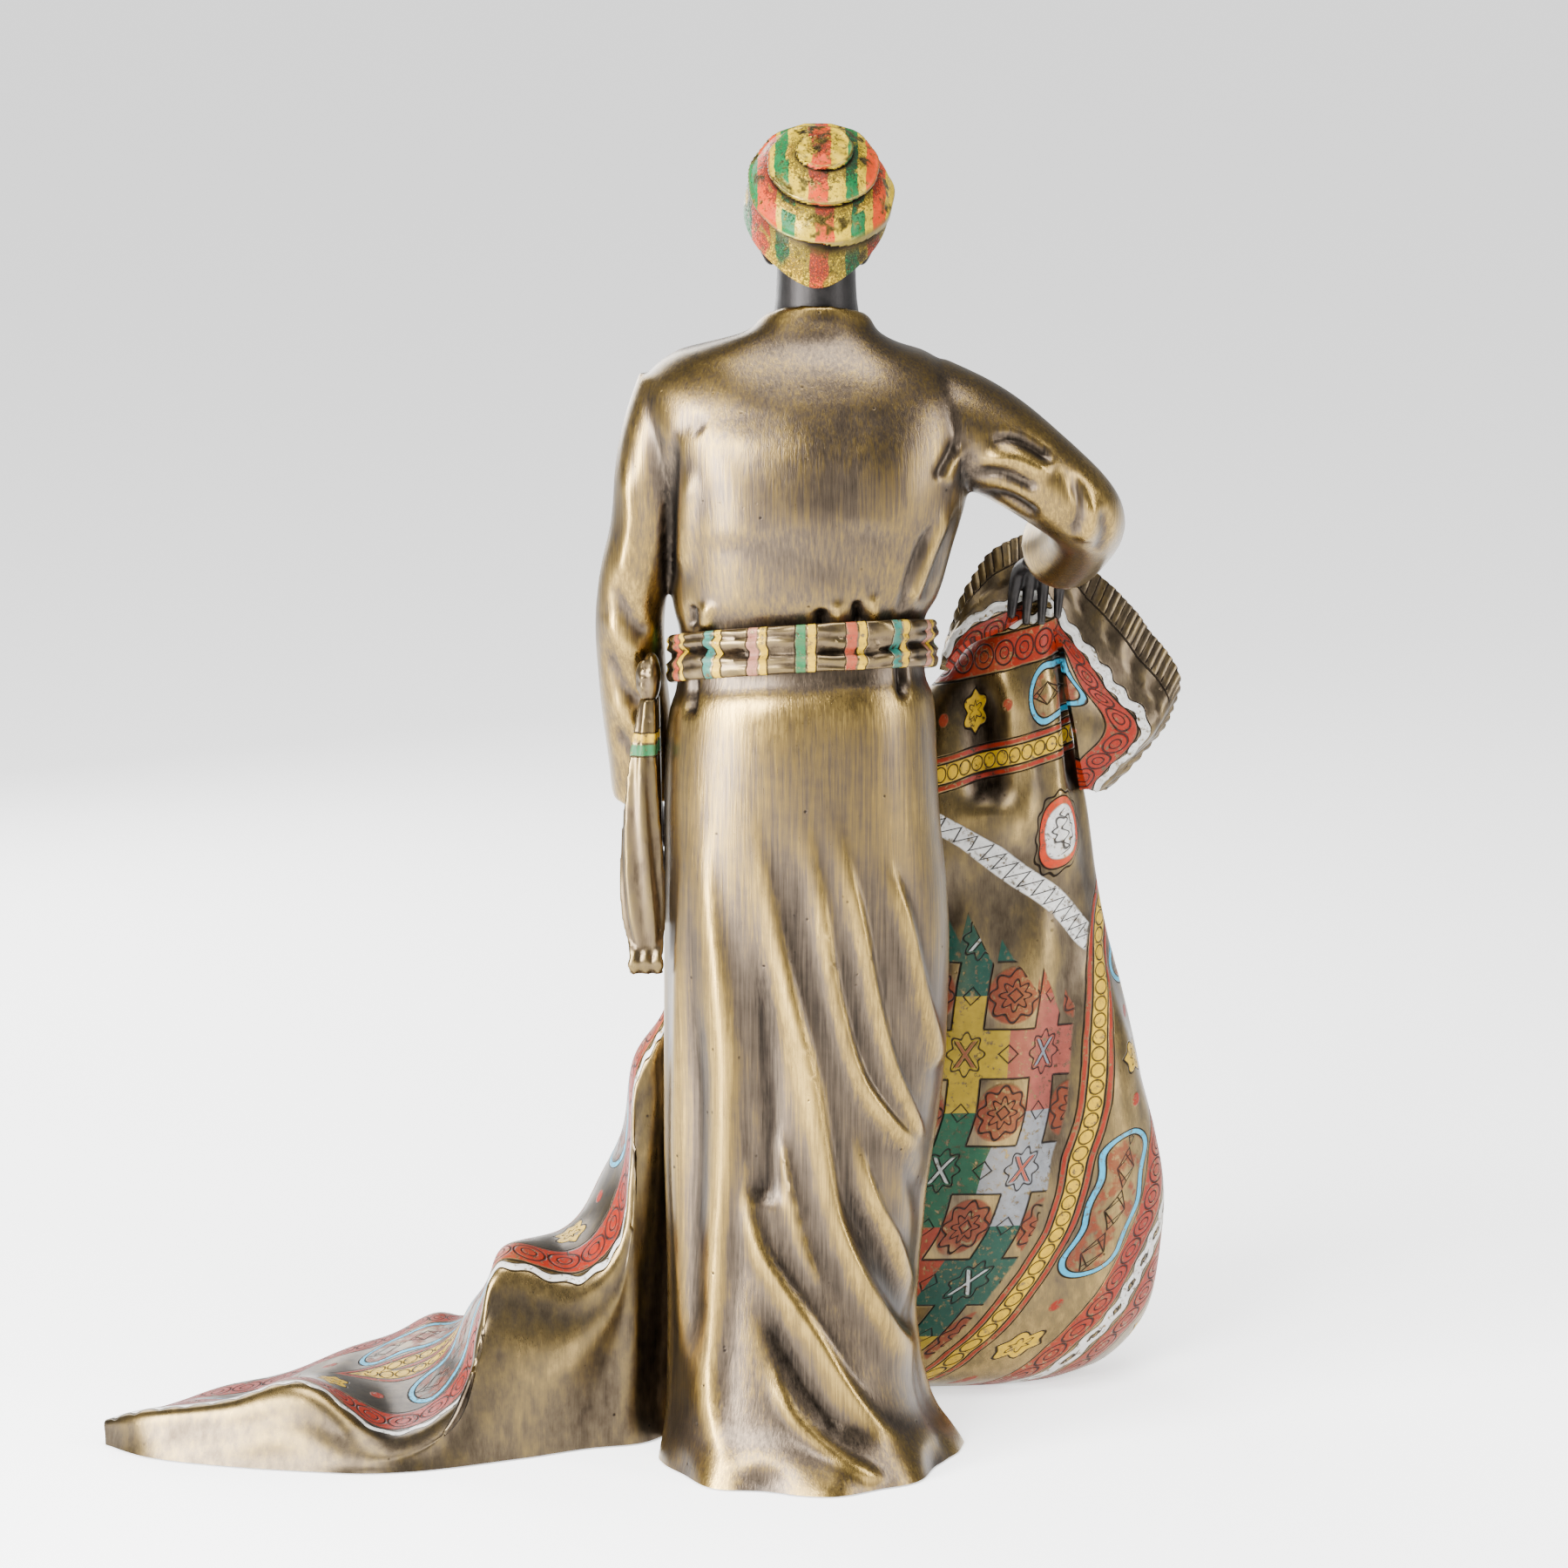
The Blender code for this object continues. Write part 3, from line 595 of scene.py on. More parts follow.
def makeLimb(name, route, sizes, bore, depth):  # a sleeve, with its cuff bored out
    levels = 40
    path = curve(route, levels)
    radii = curve([[s] for s in sizes], levels)[:, 0]
    end = path[-1] - path[-2]
    end /= np.linalg.norm(end)
    stations = (list(zip(path, radii))
                + [(path[-1] + end * 0.8, radii[-1] - 0.4), (path[-1] + end, radii[-1] - 1)])
    stations += [(path[-1] + end * 0.6, bore + 0.2), (path[-1] - end * depth * 0.5, bore),
                 (path[-1] - end * depth, bore - 0.6)]
    spots = np.array([s[0] for s in stations])
    reach = np.array([s[1] for s in stations])
    ahead = np.vstack([np.gradient(path, axis=0), np.tile(end, (5, 1))])
    ahead /= np.linalg.norm(ahead, axis=1)[:, None]
    side = np.cross(ahead, (0.0, 0.0, 1.0)) + (0.001, 0, 0)
    side /= np.linalg.norm(side, axis=1)[:, None]
    over = np.cross(side, ahead)

    def place(u, v):
        k = (v * (len(spots) - 1)).round().astype(int)
        turn = 2 * math.pi * u
        return (spots[k] + side[k] * (reach[k] * np.cos(turn))[:, None]
                + over[k] * (reach[k] * np.sin(turn))[:, None])

    piece = wrapSheet(name, 28, len(spots) - 1, place)
    closeEnds(piece)
    return piece


def placeTorso(u, v):
    z = upper["rows"][0][0] + (upper["rows"][-1][0] - upper["rows"][0][0]) * v
    angle = math.pi / 2 - 2 * math.pi * u
    x, y, c, s = oval(along(upper["rows"], z), angle, upper["roundness"])
    tilt = np.clip(1 - (z - 158.6) / 26, 0, 1) * waistTilt(x, y)
    dip = np.where(z > 216, 0.36 * (z - 216) / 8.5 * (y + 8), 0)
    return np.stack([x, y, z + tilt - dip], axis=1)


# the part of a skin between two upright planes
def parted(source, name, lowest=None, highest=None):
    makeActive(source)
    bpy.ops.object.duplicate()
    piece = bpy.context.object
    piece.name = piece.data.name = name
    for edge, keepAbove in ((lowest, True), (highest, False)):
        if edge is None:
            continue
        spot = np.array([edge, 0, 190]) * mm + shift
        inEditMode(piece, lambda: bpy.ops.mesh.bisect(plane_co=spot, plane_no=(1, 0, 0),
                                                      use_fill=True, clear_inner=keepAbove,
                                                      clear_outer=not keepAbove))
    return piece


def makeUpperRobe():
    torso = wrapSheet("torsoForm", 72, 60, placeTorso)
    closeEnds(torso)
    left = makeLimb("leftForm", upper["leftArm"], upper["leftSizes"], upper["bore"],
                    upper["boreDepth"])
    right = makeLimb("rightForm", upper["rightArm"], upper["rightSizes"], upper["bore"],
                     upper["boreDepth"])
    collar = collarRing()
    skin = fuse("upperRobe", [torso, left, right, collar], upper["grain"], upper["smoothing"])
    places, away = points(skin), normals(skin)
    x, z = places[:, 0], places[:, 2]
    behind = rise(-away[:, 1], -0.1, 0.3)
    onBody = rise(x, 34, 29) * rise(x, -29, -26.5)
    out = behind * (onBody * strokes(x, z, upper["folds"]) + strokes(x, z, upper["armFolds"]))
    front = rise(away[:, 1], 0.0, 0.4)
    out += front * 0.5 * np.cos(0.55 * x + 0.04 * z) * rise(z, 205, 175) * rise(z, 160, 168)
    # front closing
    out += front * -0.9 * np.exp(-((x - 1.9 - 0.10 * (220 - z)) / 0.8) ** 2) * rise(z, 168, 176)
    out += 0.1 * np.sin(x * 0.33 + z * 0.21) * np.cos(z * 0.17 - x * 0.1)
    setPoints(skin, places + away * out[:, None])
    relax(skin, 1)
    markRelief(skin)
    cut = upper["partAt"]
    pieces = [(parted(skin, "leftSleeve", highest=cut["left"]), "left_sleeve"),
              (parted(skin, "robeTorso", cut["left"], cut["right"]), "robe_torso"),
              (parted(skin, "rightSleeve", lowest=cut["right"]), "right_sleeve")]
    bpy.data.objects.remove(skin)
    for piece, node in pieces:
        finishPiece(piece, bronze, "bronze", node)


def collarRing():
    def place(u, v):
        around, across = 2 * math.pi * u, 2 * math.pi * v
        reach = 1.25 * np.cos(across)
        x = 1.9 + (9.2 + reach) * np.cos(around)
        y = 1.6 + (8.8 + reach) * np.sin(around)
        dip = 0.36 * (y + 7.5)
        return np.stack([x, y, 223.4 + 2.0 * np.sin(across) - dip], axis=1)
    piece = wrapSheet("collarForm", 48, 12, place)
    recalculate(piece)
    return piece


face = {
    "skull": ((1.9, 4.2, 241.2), (10.3, 12.2, 12.6)), "jaw": ((1.9, 7.6, 234.2), (7.6, 8.0, 7.8)),
    "chin": ((1.9, 13.0, 229.0), (3.0, 2.6, 2.4)), "brow": ((1.9, 12.8, 240.6), (7.8, 3.6, 2.2)),
    "cheeks": ((5.4, 10.6, 235.2), (3.9, 4.6, 4.2)),
    "cheekBone": ((6.7, 10.4, 237.0), (2.8, 3.4, 1.9)),
    "jawAngle": ((7.0, 4.8, 234.8), (3.2, 4.4, 5.6)),
    "neck": [(1.9, 2.6, 214), (1.9, 1.8, 219.8), (1.9, 1.1, 225.5), (1.9, 1.4, 233)],
    "neckSizes": (8.9, 8.6, 7.7, 7.4), "earDrop": 1.4,
    "noseBridge": ((1.9, 15.3, 238.6), (1.25, 2.1, 3.6), (16, 0, 0)),
    "noseTip": ((1.9, 16.9, 235.9), (1.45, 1.7, 1.35)),
    "nostril": ((1.55, 15.9, 235.5), (1.0, 1.4, 0.95)),
    "eyeBall": ((3.95, 13.35, 238.9), (1.85, 1.6, 1.45)),
    # each course with its sizes, sides and levels
    "upperLid": (((2.2, 14.3, 238.8), (3.1, 15.0, 239.6), (4.2, 14.9, 239.7), (5.9, 13.6, 238.7)),
                 (0.22, 0.36, 0.36, 0.22), 10, 14),
    "lowerLid": (((2.2, 14.3, 238.6), (3.3, 14.8, 237.9), (4.5, 14.5, 237.9), (5.9, 13.6, 238.6)),
                 (0.2, 0.3, 0.3, 0.2), 10, 14),
    "browRidge": (((1.6, 15.6, 240.9), (3.4, 15.6, 241.9), (5.6, 14.2, 241.7), (7.2, 12.2, 240.6)),
                  (0.4, 0.62, 0.5, 0.3), 10, 16),
    "earRim": (((8.9, 3.9, 238.9), (9.8, 2.6, 239.9), (10.5, 1.2, 239.0), (10.3, 1.0, 236.9),
                (9.4, 2.0, 234.8), (8.5, 3.4, 233.7), (8.2, 4.1, 234.6)),
               (0.5, 0.75, 0.8, 0.75, 0.8, 0.95, 0.6), 12, 30),
    "upperLip": ([(-0.9, 14.5, 232.4), (0.7, 15.9, 232.75), (1.9, 16.1, 232.55),
                  (3.1, 15.9, 232.75), (4.7, 14.5, 232.4)], (0.25, 0.6, 0.58, 0.6, 0.25), 12, 24),
    "lowerLip": ([(-0.5, 14.4, 231.9), (0.9, 15.5, 231.3), (1.9, 15.8, 231.15),
                  (2.9, 15.5, 231.3), (4.3, 14.4, 231.9)], (0.25, 0.72, 0.78, 0.72, 0.25), 12, 24),
    "earBowl": ((9.0, 2.9, 236.8), (1.0, 1.7, 2.6), -18),
    "middle": 1.9, "grain": 0.36, "smoothing": 2,
}


def mirrored(spot):
    return (2 * face["middle"] - spot[0], spot[1], spot[2])


def beside(side, course, drop=0):  # a course measured outwards from the middle of the face
    return [(face["middle"] + side * across, deep, up - drop) for across, deep, up in course]


def makeHead():
    look = face
    parts = [ballAt(name + "Form", *look[name]) for name in ("skull", "jaw", "chin", "brow")]
    neck = tubeAlong("neckForm", look["neck"], look["neckSizes"], sides=36, levels=12)
    parts.append(neck)
    for spot, size in (look["cheeks"], look["cheekBone"], look["jawAngle"]):
        parts += [ballAt("cheekForm", spot, size), ballAt("cheekForm", mirrored(spot), size)]
    parts += [ballAt(name, *look[name]) for name in ("noseBridge", "noseTip")]
    for side in (1, -1):
        for name in ("nostril", "eyeBall"):
            spot, size = look[name]
            parts.append(ballAt(name, *beside(side, [spot]), size))
        for name in ("upperLid", "lowerLid", "browRidge", "earRim"):
            course, sizes, sides, levels = look[name]
            drop = look["earDrop"] if name == "earRim" else 0
            parts.append(tubeAlong(name, beside(side, course, drop), sizes, sides=sides,
                                   levels=levels))
        spot, size, turn = look["earBowl"]
        parts.append(ballAt("earBowl", *beside(side, [spot], look["earDrop"]), size,
                            (0, 0, side * turn)))
    for name in ("upperLip", "lowerLip"):
        course, sizes, sides, levels = look[name]
        parts.append(tubeAlong(name, course, sizes, sides=sides, levels=levels))
    piece = fuse("head", parts, look["grain"], look["smoothing"])
    markRelief(piece, 3, 20)
    finishPiece(piece, darkSkin, "dark_patina", "head")


hands = {
    "right": {"palm": [(50.4, 18, 175.7), (49.4, 23.0, 174.2), (47.6, 27.6, 172.2)],
              "palmSizes": (3.4, 3.8, 3.9),
              "fingers": [[(49.8, 26.4, 172.4), (50.2, 31.8, 170.4), (50.0, 33.6, 165.2),
                           (49.6, 32.6, 158.8)],
                          [(47.6, 27.0, 172.0), (47.2, 32.2, 170.0), (46.8, 33.6, 164.2),
                           (46.4, 32.2, 157.6)],
                          [(45.4, 27.0, 171.6), (44.4, 31.8, 169.2), (43.8, 32.8, 163.6),
                           (43.3, 31.4, 157.8)],
                          [(43.8, 26.6, 171.0), (41.8, 30.8, 168.6), (40.9, 31.8, 163.6),
                           (40.4, 30.8, 159.2)]],
              "thumb": [(50.8, 25.6, 173), (53.0, 31.0, 172.2), (53.6, 35.6, 170.0),
                        (53.0, 38.6, 167.4)]},
    "left": {"palm": [(-31.5, 12.6, 131), (-31, 15.4, 124.5), (-30.6, 18, 119.5)],
             "palmSizes": (3.2, 3.4, 3.9),
             "fingers": [[(-32.2, 19.2, 119.4), (-32.2, 21.8, 115.4), (-31.4, 23.4, 111.4),
                          (-30.6, 23.2, 108.6)],
                         [(-31.2, 18.6, 118.2), (-31.2, 21.0, 113.8), (-30.4, 22.4, 109.8),
                          (-29.6, 22.0, 107.4)],
                         [(-30.2, 17.8, 117.6), (-30.0, 19.8, 113.2), (-29.4, 21.0, 109.4),
                          (-28.8, 20.6, 107.4)],
                         [(-29.4, 16.8, 117.8), (-28.8, 18.4, 113.6), (-28.4, 19.4, 110.4),
                          (-28.0, 19.2, 108.6)]],
             "thumb": [(-30.4, 19.4, 122.4), (-29.0, 22.4, 119.8), (-28.6, 23.8, 116.4),
                       (-29.0, 24.0, 114.2)]},
    "fingerSizes": (1.5, 1.35, 1.2, 0.8), "thumbSizes": (1.6, 1.5, 1.35, 0.9), "grain": 0.34,
}


def makeHand(name, side, node):
    look = hands[side]
    parts = [tubeAlong("palmForm", look["palm"], look["palmSizes"], sides=20, levels=12)]
    parts += [tubeAlong("fingerForm", route, hands["fingerSizes"], sides=12, levels=16)
              for route in look["fingers"]]
    parts.append(tubeAlong("thumbForm", look["thumb"], hands["thumbSizes"], sides=12, levels=16))
    piece = fuse(name, parts, hands["grain"], 3)
    markRelief(piece, 3, 20)
    finishPiece(piece, darkSkin, "dark_patina", node)


paints = {
    "red": (0.36, 0.022, 0.006), "orange": (0.7, 0.05, 0.008), "yellow": (0.82, 0.5, 0.004),
    "cyan": (0.03, 0.5, 0.8), "white": (0.95, 0.94, 0.9), "clay": (0.24, 0.05, 0.018),
    "ink": (0.008, 0.006, 0.005),
}


paintShade = (0.12, 0.5)  # share of a paint's own colour in hollows and in the open


class Painting:  # bronze underneath, paints and cut lines laid over it one after another
    def __init__(self, name, cloth):
        self.material, self.shader, self.base, self.spot = startMaterial(name)
        self.tone, self.rough, _, self.wear = bronzeBody(self.base, self.spot, cloth)
        self.painted = self.cuts = None
        grime = noise(self.spot, 0.9, 5.0, 0.65)
        self.cover = (grime.below(0.6, 0.07)
                      * (0.86 + 0.14 * attribute(self.base, "fineRelief").below(0.6, 0.5)))
        self.shade = (0.2 + 0.9 * noise(self.spot, 0.5, 4.0, 0.6)
                      + 0.3 * attribute(self.base, "broadRelief").maths("TANH"))

    def brush(self, mask, shadowed, lit):
        mask = mask * self.cover
        self.tone = mask.mix(self.tone, self.shade.mix(shadowed, lit))
        self.painted = mask if self.painted is None else self.painted.largest(mask)

    def dimmed(self, tone, share):
        return self.base.add("ShaderNodeMix", {"data_type": "RGBA", "blend_type": "MULTIPLY"},
                             {0: 1.0, 6: tone, 7: colour(share, share, share)}, 2)

    def lay(self, mask, paint):
        self.brush(mask, *(colour(*(share * c for c in paints[paint])) for share in paintShade))

    def layRamp(self, mask, tone):
        self.brush(mask, *(self.dimmed(tone, share) for share in paintShade))

    def cut(self, mask, depth=1.0):
        self.cuts = mask * depth if self.cuts is None else self.cuts.largest(mask * depth)

    def finish(self):
        pits = pitsIn(self.spot, 0.5, 0.3, 41)
        tone = (self.cuts * 0.93).mix(self.tone, colour(*paints["ink"]))
        rough = self.rough * (1 - self.painted) + 0.4 * self.painted + 0.15 * self.cuts
        height = 0.18 * self.painted + 0.12 * self.wear - self.cuts - 0.25 * pits
        plug(self.shader, {"Base Color": tone, "Roughness": rough, "Metallic": 1 - self.painted,
                           "Specular IOR Level": 0.12,
                           "Normal": bump(self.base, height, 0.32, 0.9)})
        return self.material


carpetCloth = dict(bronzeLook, grain=(0.5, 0.5, 0.2), brown=(0.03, 0.022, 0.015),
                   taupe=(0.062, 0.047, 0.03), khaki=(0.11, 0.078, 0.034), gold=(0.2, 0.137, 0.052))


def gate(value, edge, blur=0.15):  # 1 above the edge
    return 1 - value.below(edge, blur)


def makeCarpetPaint():
    art = Painting("carpetPaint", carpetCloth)
    base = art.base
    sideBorder, topBorder = attribute(base, "sideBorder"), attribute(base, "topBorder")
    isTop = topBorder.maths("GREATER_THAN", sideBorder)
    border = sideBorder.largest(topBorder)
    run = attribute(base, "alongSide") * (1 - isTop) + attribute(base, "alongTop") * isTop
    wobble = 0.35 * (noise(art.spot, 0.22, 2.0) - 0.5)
    border = border + wobble

    def beads(period, phase=0.0):  # distance along the border from the nearest repeat
        return ((run / period + phase).rest() - 0.5) * period

    # field of the carpet: crosses and rosettes
    across, up = attribute(base, "fieldAcross"), attribute(base, "fieldUp")
    column, row = (-12.0 - across) / 16.0, (72.5 - up) / 23.5
    columnPlace, rowPlace = (column + 0.5).rest() - 0.5, (row + 0.5).rest() - 0.5
    number = ((row + 0.5).whole() + 3 * (column + 0.5).whole()) / 6.0
    number = number.rest()
    armUp, armAcross = abs(columnPlace).below(0.2, 0.012), abs(rowPlace).below(0.21, 0.009)
    arm = armUp.largest(armAcross)
    slant = 0.9 * across + topBorder
    # stepped upper edge of the field
    stepped = slant + 5.5 * ((across / 8.0).rest() - 0.5)
    inField = stepped.below(-60.5, 0.3) * border.below(-5.5, 0.3)
    crossTone = number.ramp([(0.0, (0.36, 0.08, 0.055)), (0.16, (0.3, 0.31, 0.33)),
                             (0.32, (0.012, 0.075, 0.05)), (0.49, (0.46, 0.31, 0.015)),
                             (0.65, (0.012, 0.1, 0.045)), (0.82, (0.32, 0.04, 0.015))], "CONSTANT")
    art.layRamp(inField * arm, crossTone)
    rosetteX, rosetteY = column.rest() - 0.5, row.rest() - 0.5
    reach = (rosetteX * 16).length(rosetteY * 20)
    turn = (rosetteY * 20).maths("ARCTAN2", rosetteX * 16)
    petals = reach - 0.55 * (8 * turn).cosine()
    rosette = inField * (1 - arm)
    art.lay(rosette * reach.below(4.9, 0.3) * gate(noise(art.spot, 0.09, 1.0), 0.36, 0.05), "clay")
    art.cut(rosette * (petals.within(4.1, 0.2, 0.12).largest(petals.within(2.2, 0.17, 0.12))))
    art.cut(rosette * (abs(rosetteX * 16) + abs(rosetteY * 20)).within(1.2, 0.16, 0.1))
    art.cut(inField * abs(columnPlace).within(0.2, 0.011, 0.007) * abs(rowPlace).below(0.5, 0.01)
            * gate(abs(rowPlace), 0.21, 0.01))
    art.cut(inField * abs(rowPlace).within(0.21, 0.008, 0.005) * gate(abs(columnPlace), 0.2, 0.01))
    art.cut(inField * (abs(columnPlace * 16)
                       + abs(abs(rowPlace) - 0.5) * 22).within(1.7, 0.16, 0.1))
    art.cut(inField * (abs(abs(columnPlace) - 0.5) * 16
                       + abs(rowPlace * 22)).within(1.7, 0.16, 0.1))
    starX, starY = columnPlace * 16, rowPlace * 20
    star = starX.length(starY) - 0.5 * (8 * starY.maths("ARCTAN2", starX)).cosine()
    art.cut(inField * star.within(3.3, 0.17, 0.1))
    crossMark = abs(abs(starX) - 0.8 * abs(starY)).below(0.33, 0.12) * star.below(2.6, 0.2)
    markTone = number.ramp([(0.0, (0.2, 0.26, 0.3)), (0.16, (0.45, 0.08, 0.04)),
                            (0.32, (0.55, 0.56, 0.55)), (0.49, (0.3, 0.09, 0.04)),
                            (0.65, (0.5, 0.5, 0.48)), (0.82, (0.5, 0.4, 0.05))], "CONSTANT")
    art.cut(inField * abs(abs(starX) - 0.8 * abs(starY)).within(0.55, 0.13, 0.08)
            * star.below(2.8, 0.2))
    art.layRamp(inField * crossMark, markTone)

    # spandrel: zigzag band and the oval medallion
    zigzag = ((up * 0.9 - across * 0.5) / 3.1).rest()
    inBand = slant.within(-45.5, 2.5, 0.25) * border.below(-4, 0.3)
    art.lay(inBand * gate(noise(art.spot, 0.35, 3.0), 0.36, 0.08), "white")
    art.cut(inBand * abs(slant + 45.5 - 8.4 * abs(zigzag - 0.5) + 2.1).below(0.34, 0.15))
    medalX, medalY = across + 16.2, topBorder + 18.3
    ring = (medalX * 1.6).length(medalY)
    edge = ring - 0.35 * (12 * medalY.maths("ARCTAN2", medalX * 1.6)).cosine()
    art.cut(edge.within(8.2, 0.2, 0.12))
    art.lay(ring.within(6.3, 0.75, 0.3), "orange")
    art.cut(ring.within(7.2, 0.14, 0.1))
    art.lay(ring.below(5.4, 0.25), "white")
    scrawl = (medalX * 1.6 + 1.2 * (2.2 * medalY).wave())
    art.cut(ring.below(4.6, 0.2) * (abs(scrawl).below(0.28, 0.14).largest(
        (ring - 0.5 * (7 * medalY.maths("ARCTAN2", medalX)).wave()).within(3.1, 0.24, 0.14))))

    # border, from the yellow chain outwards
    art.lay(abs(border).within(2.75, 0.42, 0.14), "red")
    art.cut(abs(border).within(3.5, 0.13, 0.09).largest(abs(border).within(1.95, 0.15, 0.09)))
    art.lay(abs(border).below(1.7, 0.14), "yellow")
    bead = beads(3.3).length(border)
    art.cut(bead.within(1.42, 0.14, 0.1) * abs(border).below(1.8, 0.1))
    spot = beads(58.0, 0.81)
    capsule = (abs(spot) - 9.5).largest(0.0).length((border - 10.4) * 0.92)
    capsule = capsule - 0.4 * (0.55 * spot).cosine()
    panel = border.within(10.4, 6.6, 0.2)
    art.lay(panel * capsule.below(3.9, 0.2) * gate(noise(art.spot, 0.3, 2.0), 0.5, 0.08), "clay")
    art.lay(panel * capsule.within(4.85, 0.52, 0.16), "cyan")
    art.cut(panel * (capsule.within(5.55, 0.13, 0.09).largest(capsule.within(4.15, 0.12, 0.09))))
    lozenge = abs(border - 10.4) + 0.55 * abs(beads(8.6))
    art.cut(panel * capsule.below(4.0, 0.2) * (lozenge.within(2.2, 0.14, 0.1).largest(
        abs(abs(border - 10.4) - abs(beads(4.3))).below(0.15, 0.1) * lozenge.below(2.1, 0.1))))
    art.lay(panel * (abs(spot) - 20.5).length(border - 10.4).below(1.25, 0.2), "red")
    leaf = (abs(spot) - 29.0).length((border - 10.4) * 0.6)
    leafEdge = leaf - 0.5 * (5 * (border - 10.4).maths("ARCTAN2", abs(spot) - 29.0)).cosine()
    art.lay(panel * leafEdge.below(2.6, 0.25), "yellow")
    art.cut(panel * (leafEdge.within(2.75, 0.15, 0.1).largest(leafEdge.within(1.2, 0.13, 0.1))))
    art.cut(border.within(17.2, 0.17, 0.1).largest(border.within(24.3, 0.17, 0.1)))
    art.lay(border.within(20.75, 3.2, 0.18), "red")
    oval = (beads(5.3) * 0.95).length(border - 20.75)
    art.cut(border.within(20.75, 3.0, 0.1)
            * (oval.within(2.3, 0.17, 0.1).largest(oval.within(1.1, 0.12, 0.08))))
    selvage = border + 0.4 * (1.25 * run).wave()
    art.lay(selvage.within(25.8, 0.75, 0.16), "white")
    art.cut(selvage.within(26.75, 0.14, 0.1).largest(selvage.within(24.85, 0.12, 0.08)))
    art.cut(border.within(33.0, 0.16, 0.1))
    hatch = abs((run / 1.55 + 0.2 * noise(art.spot, 0.4, 1.0)).rest() - 0.5)
    art.cut(gate(border, 33.4, 0.3) * hatch.below(0.13, 0.07))
    return art.finish()


def makeSashPaint():
    art = Painting("sashPaint", dict(carpetCloth, taupe=(0.09, 0.065, 0.038)))
    around = attribute(art.base, "sashArc") + 0.5 * (noise(art.spot, 0.3, 2.0) - 0.5)
    number = ((around / 8.6 + 0.5).whole() / 4.0).rest()
    place = ((around / 8.6 + 0.5).rest() - 0.5) * 8.6
    first = number.ramp([(0.0, (0.03, 0.2, 0.07)), (0.2, (0.45, 0.07, 0.03)),
                         (0.45, (0.02, 0.2, 0.15)), (0.7, (0.5, 0.2, 0.13))], "CONSTANT")
    art.layRamp(place.within(-0.2, 0.85, 0.15), first)
    art.lay(place.within(1.7, 0.65, 0.15), "yellow")
    art.cut(place.within(2.5, 0.1, 0.08).largest(place.within(-1.2, 0.1, 0.08)), 0.8)
    groove = attribute(art.base, "broadRelief").below(-0.5, 0.25)
    art.cut(groove, 0.8)
    return art.finish()


def makeTurbanPaint():
    art = Painting("turbanPaint",
                   dict(carpetCloth, taupe=(0.08, 0.06, 0.018), khaki=(0.13, 0.1, 0.02)))
    level = attribute(art.base, "wrapLevel")  # 0 where a wrap tucks in, 1 on its free edge
    number = attribute(art.base, "wrapNumber")
    place = (attribute(art.base, "wrapPlace") + 0.7 * (2.3 * number).wave()
             + 1.2 * (noise(art.spot, 0.3, 3.0) - 0.5))
    share = (place + 15.0) / 30.0
    yellow, green, red = (0.74, 0.5, 0.004), (0.004, 0.17, 0.045), (0.72, 0.06, 0.006)
    tones = share.ramp([(0.0, green), (0.1, red), (0.217, yellow), (0.25, green), (0.333, yellow),
                        (0.46, red), (0.58, yellow), (0.687, green), (0.767, yellow), (0.817, red),
                        (0.9, yellow)], "CONSTANT")
    patches = gate(noise(art.spot, 0.2, 3.0, 0.6), 0.40, 0.05)
    art.layRamp(patches * gate(level, 0.1, 0.06) * level.below(0.93, 0.04), tones)
    art.lay(level.within(0.3, 0.1, 0.02) * gate(noise(art.spot, 0.16, 1.0), 0.55, 0.03), "yellow")
    art.cut(level.below(0.09, 0.06), 0.9)
    specks = gate(noise(art.spot, 2.6, 3.0, 0.7) + 0.22 * level.below(0.42, 0.3), 0.66, 0.05)
    art.cut(specks * level.below(0.9, 0.1), 0.8)
    return art.finish()


carpetPaint = makeCarpetPaint()
sashPaint = makeSashPaint()
turbanPaint = makeTurbanPaint()
print("paints made")


turban = {
    "centre": (2.1, 3.6, 243.2), "size": (13.7, 16.2, 14.3), "tilt": -14, "crownLean": 42,
    "edges": (0, 19, 44, 68, 142, 190), "swell": 1.3, "rimBack": 152, "rimFront": 70,
    "lowSize": 21.5, "columns": 230, "levels": 160,
}


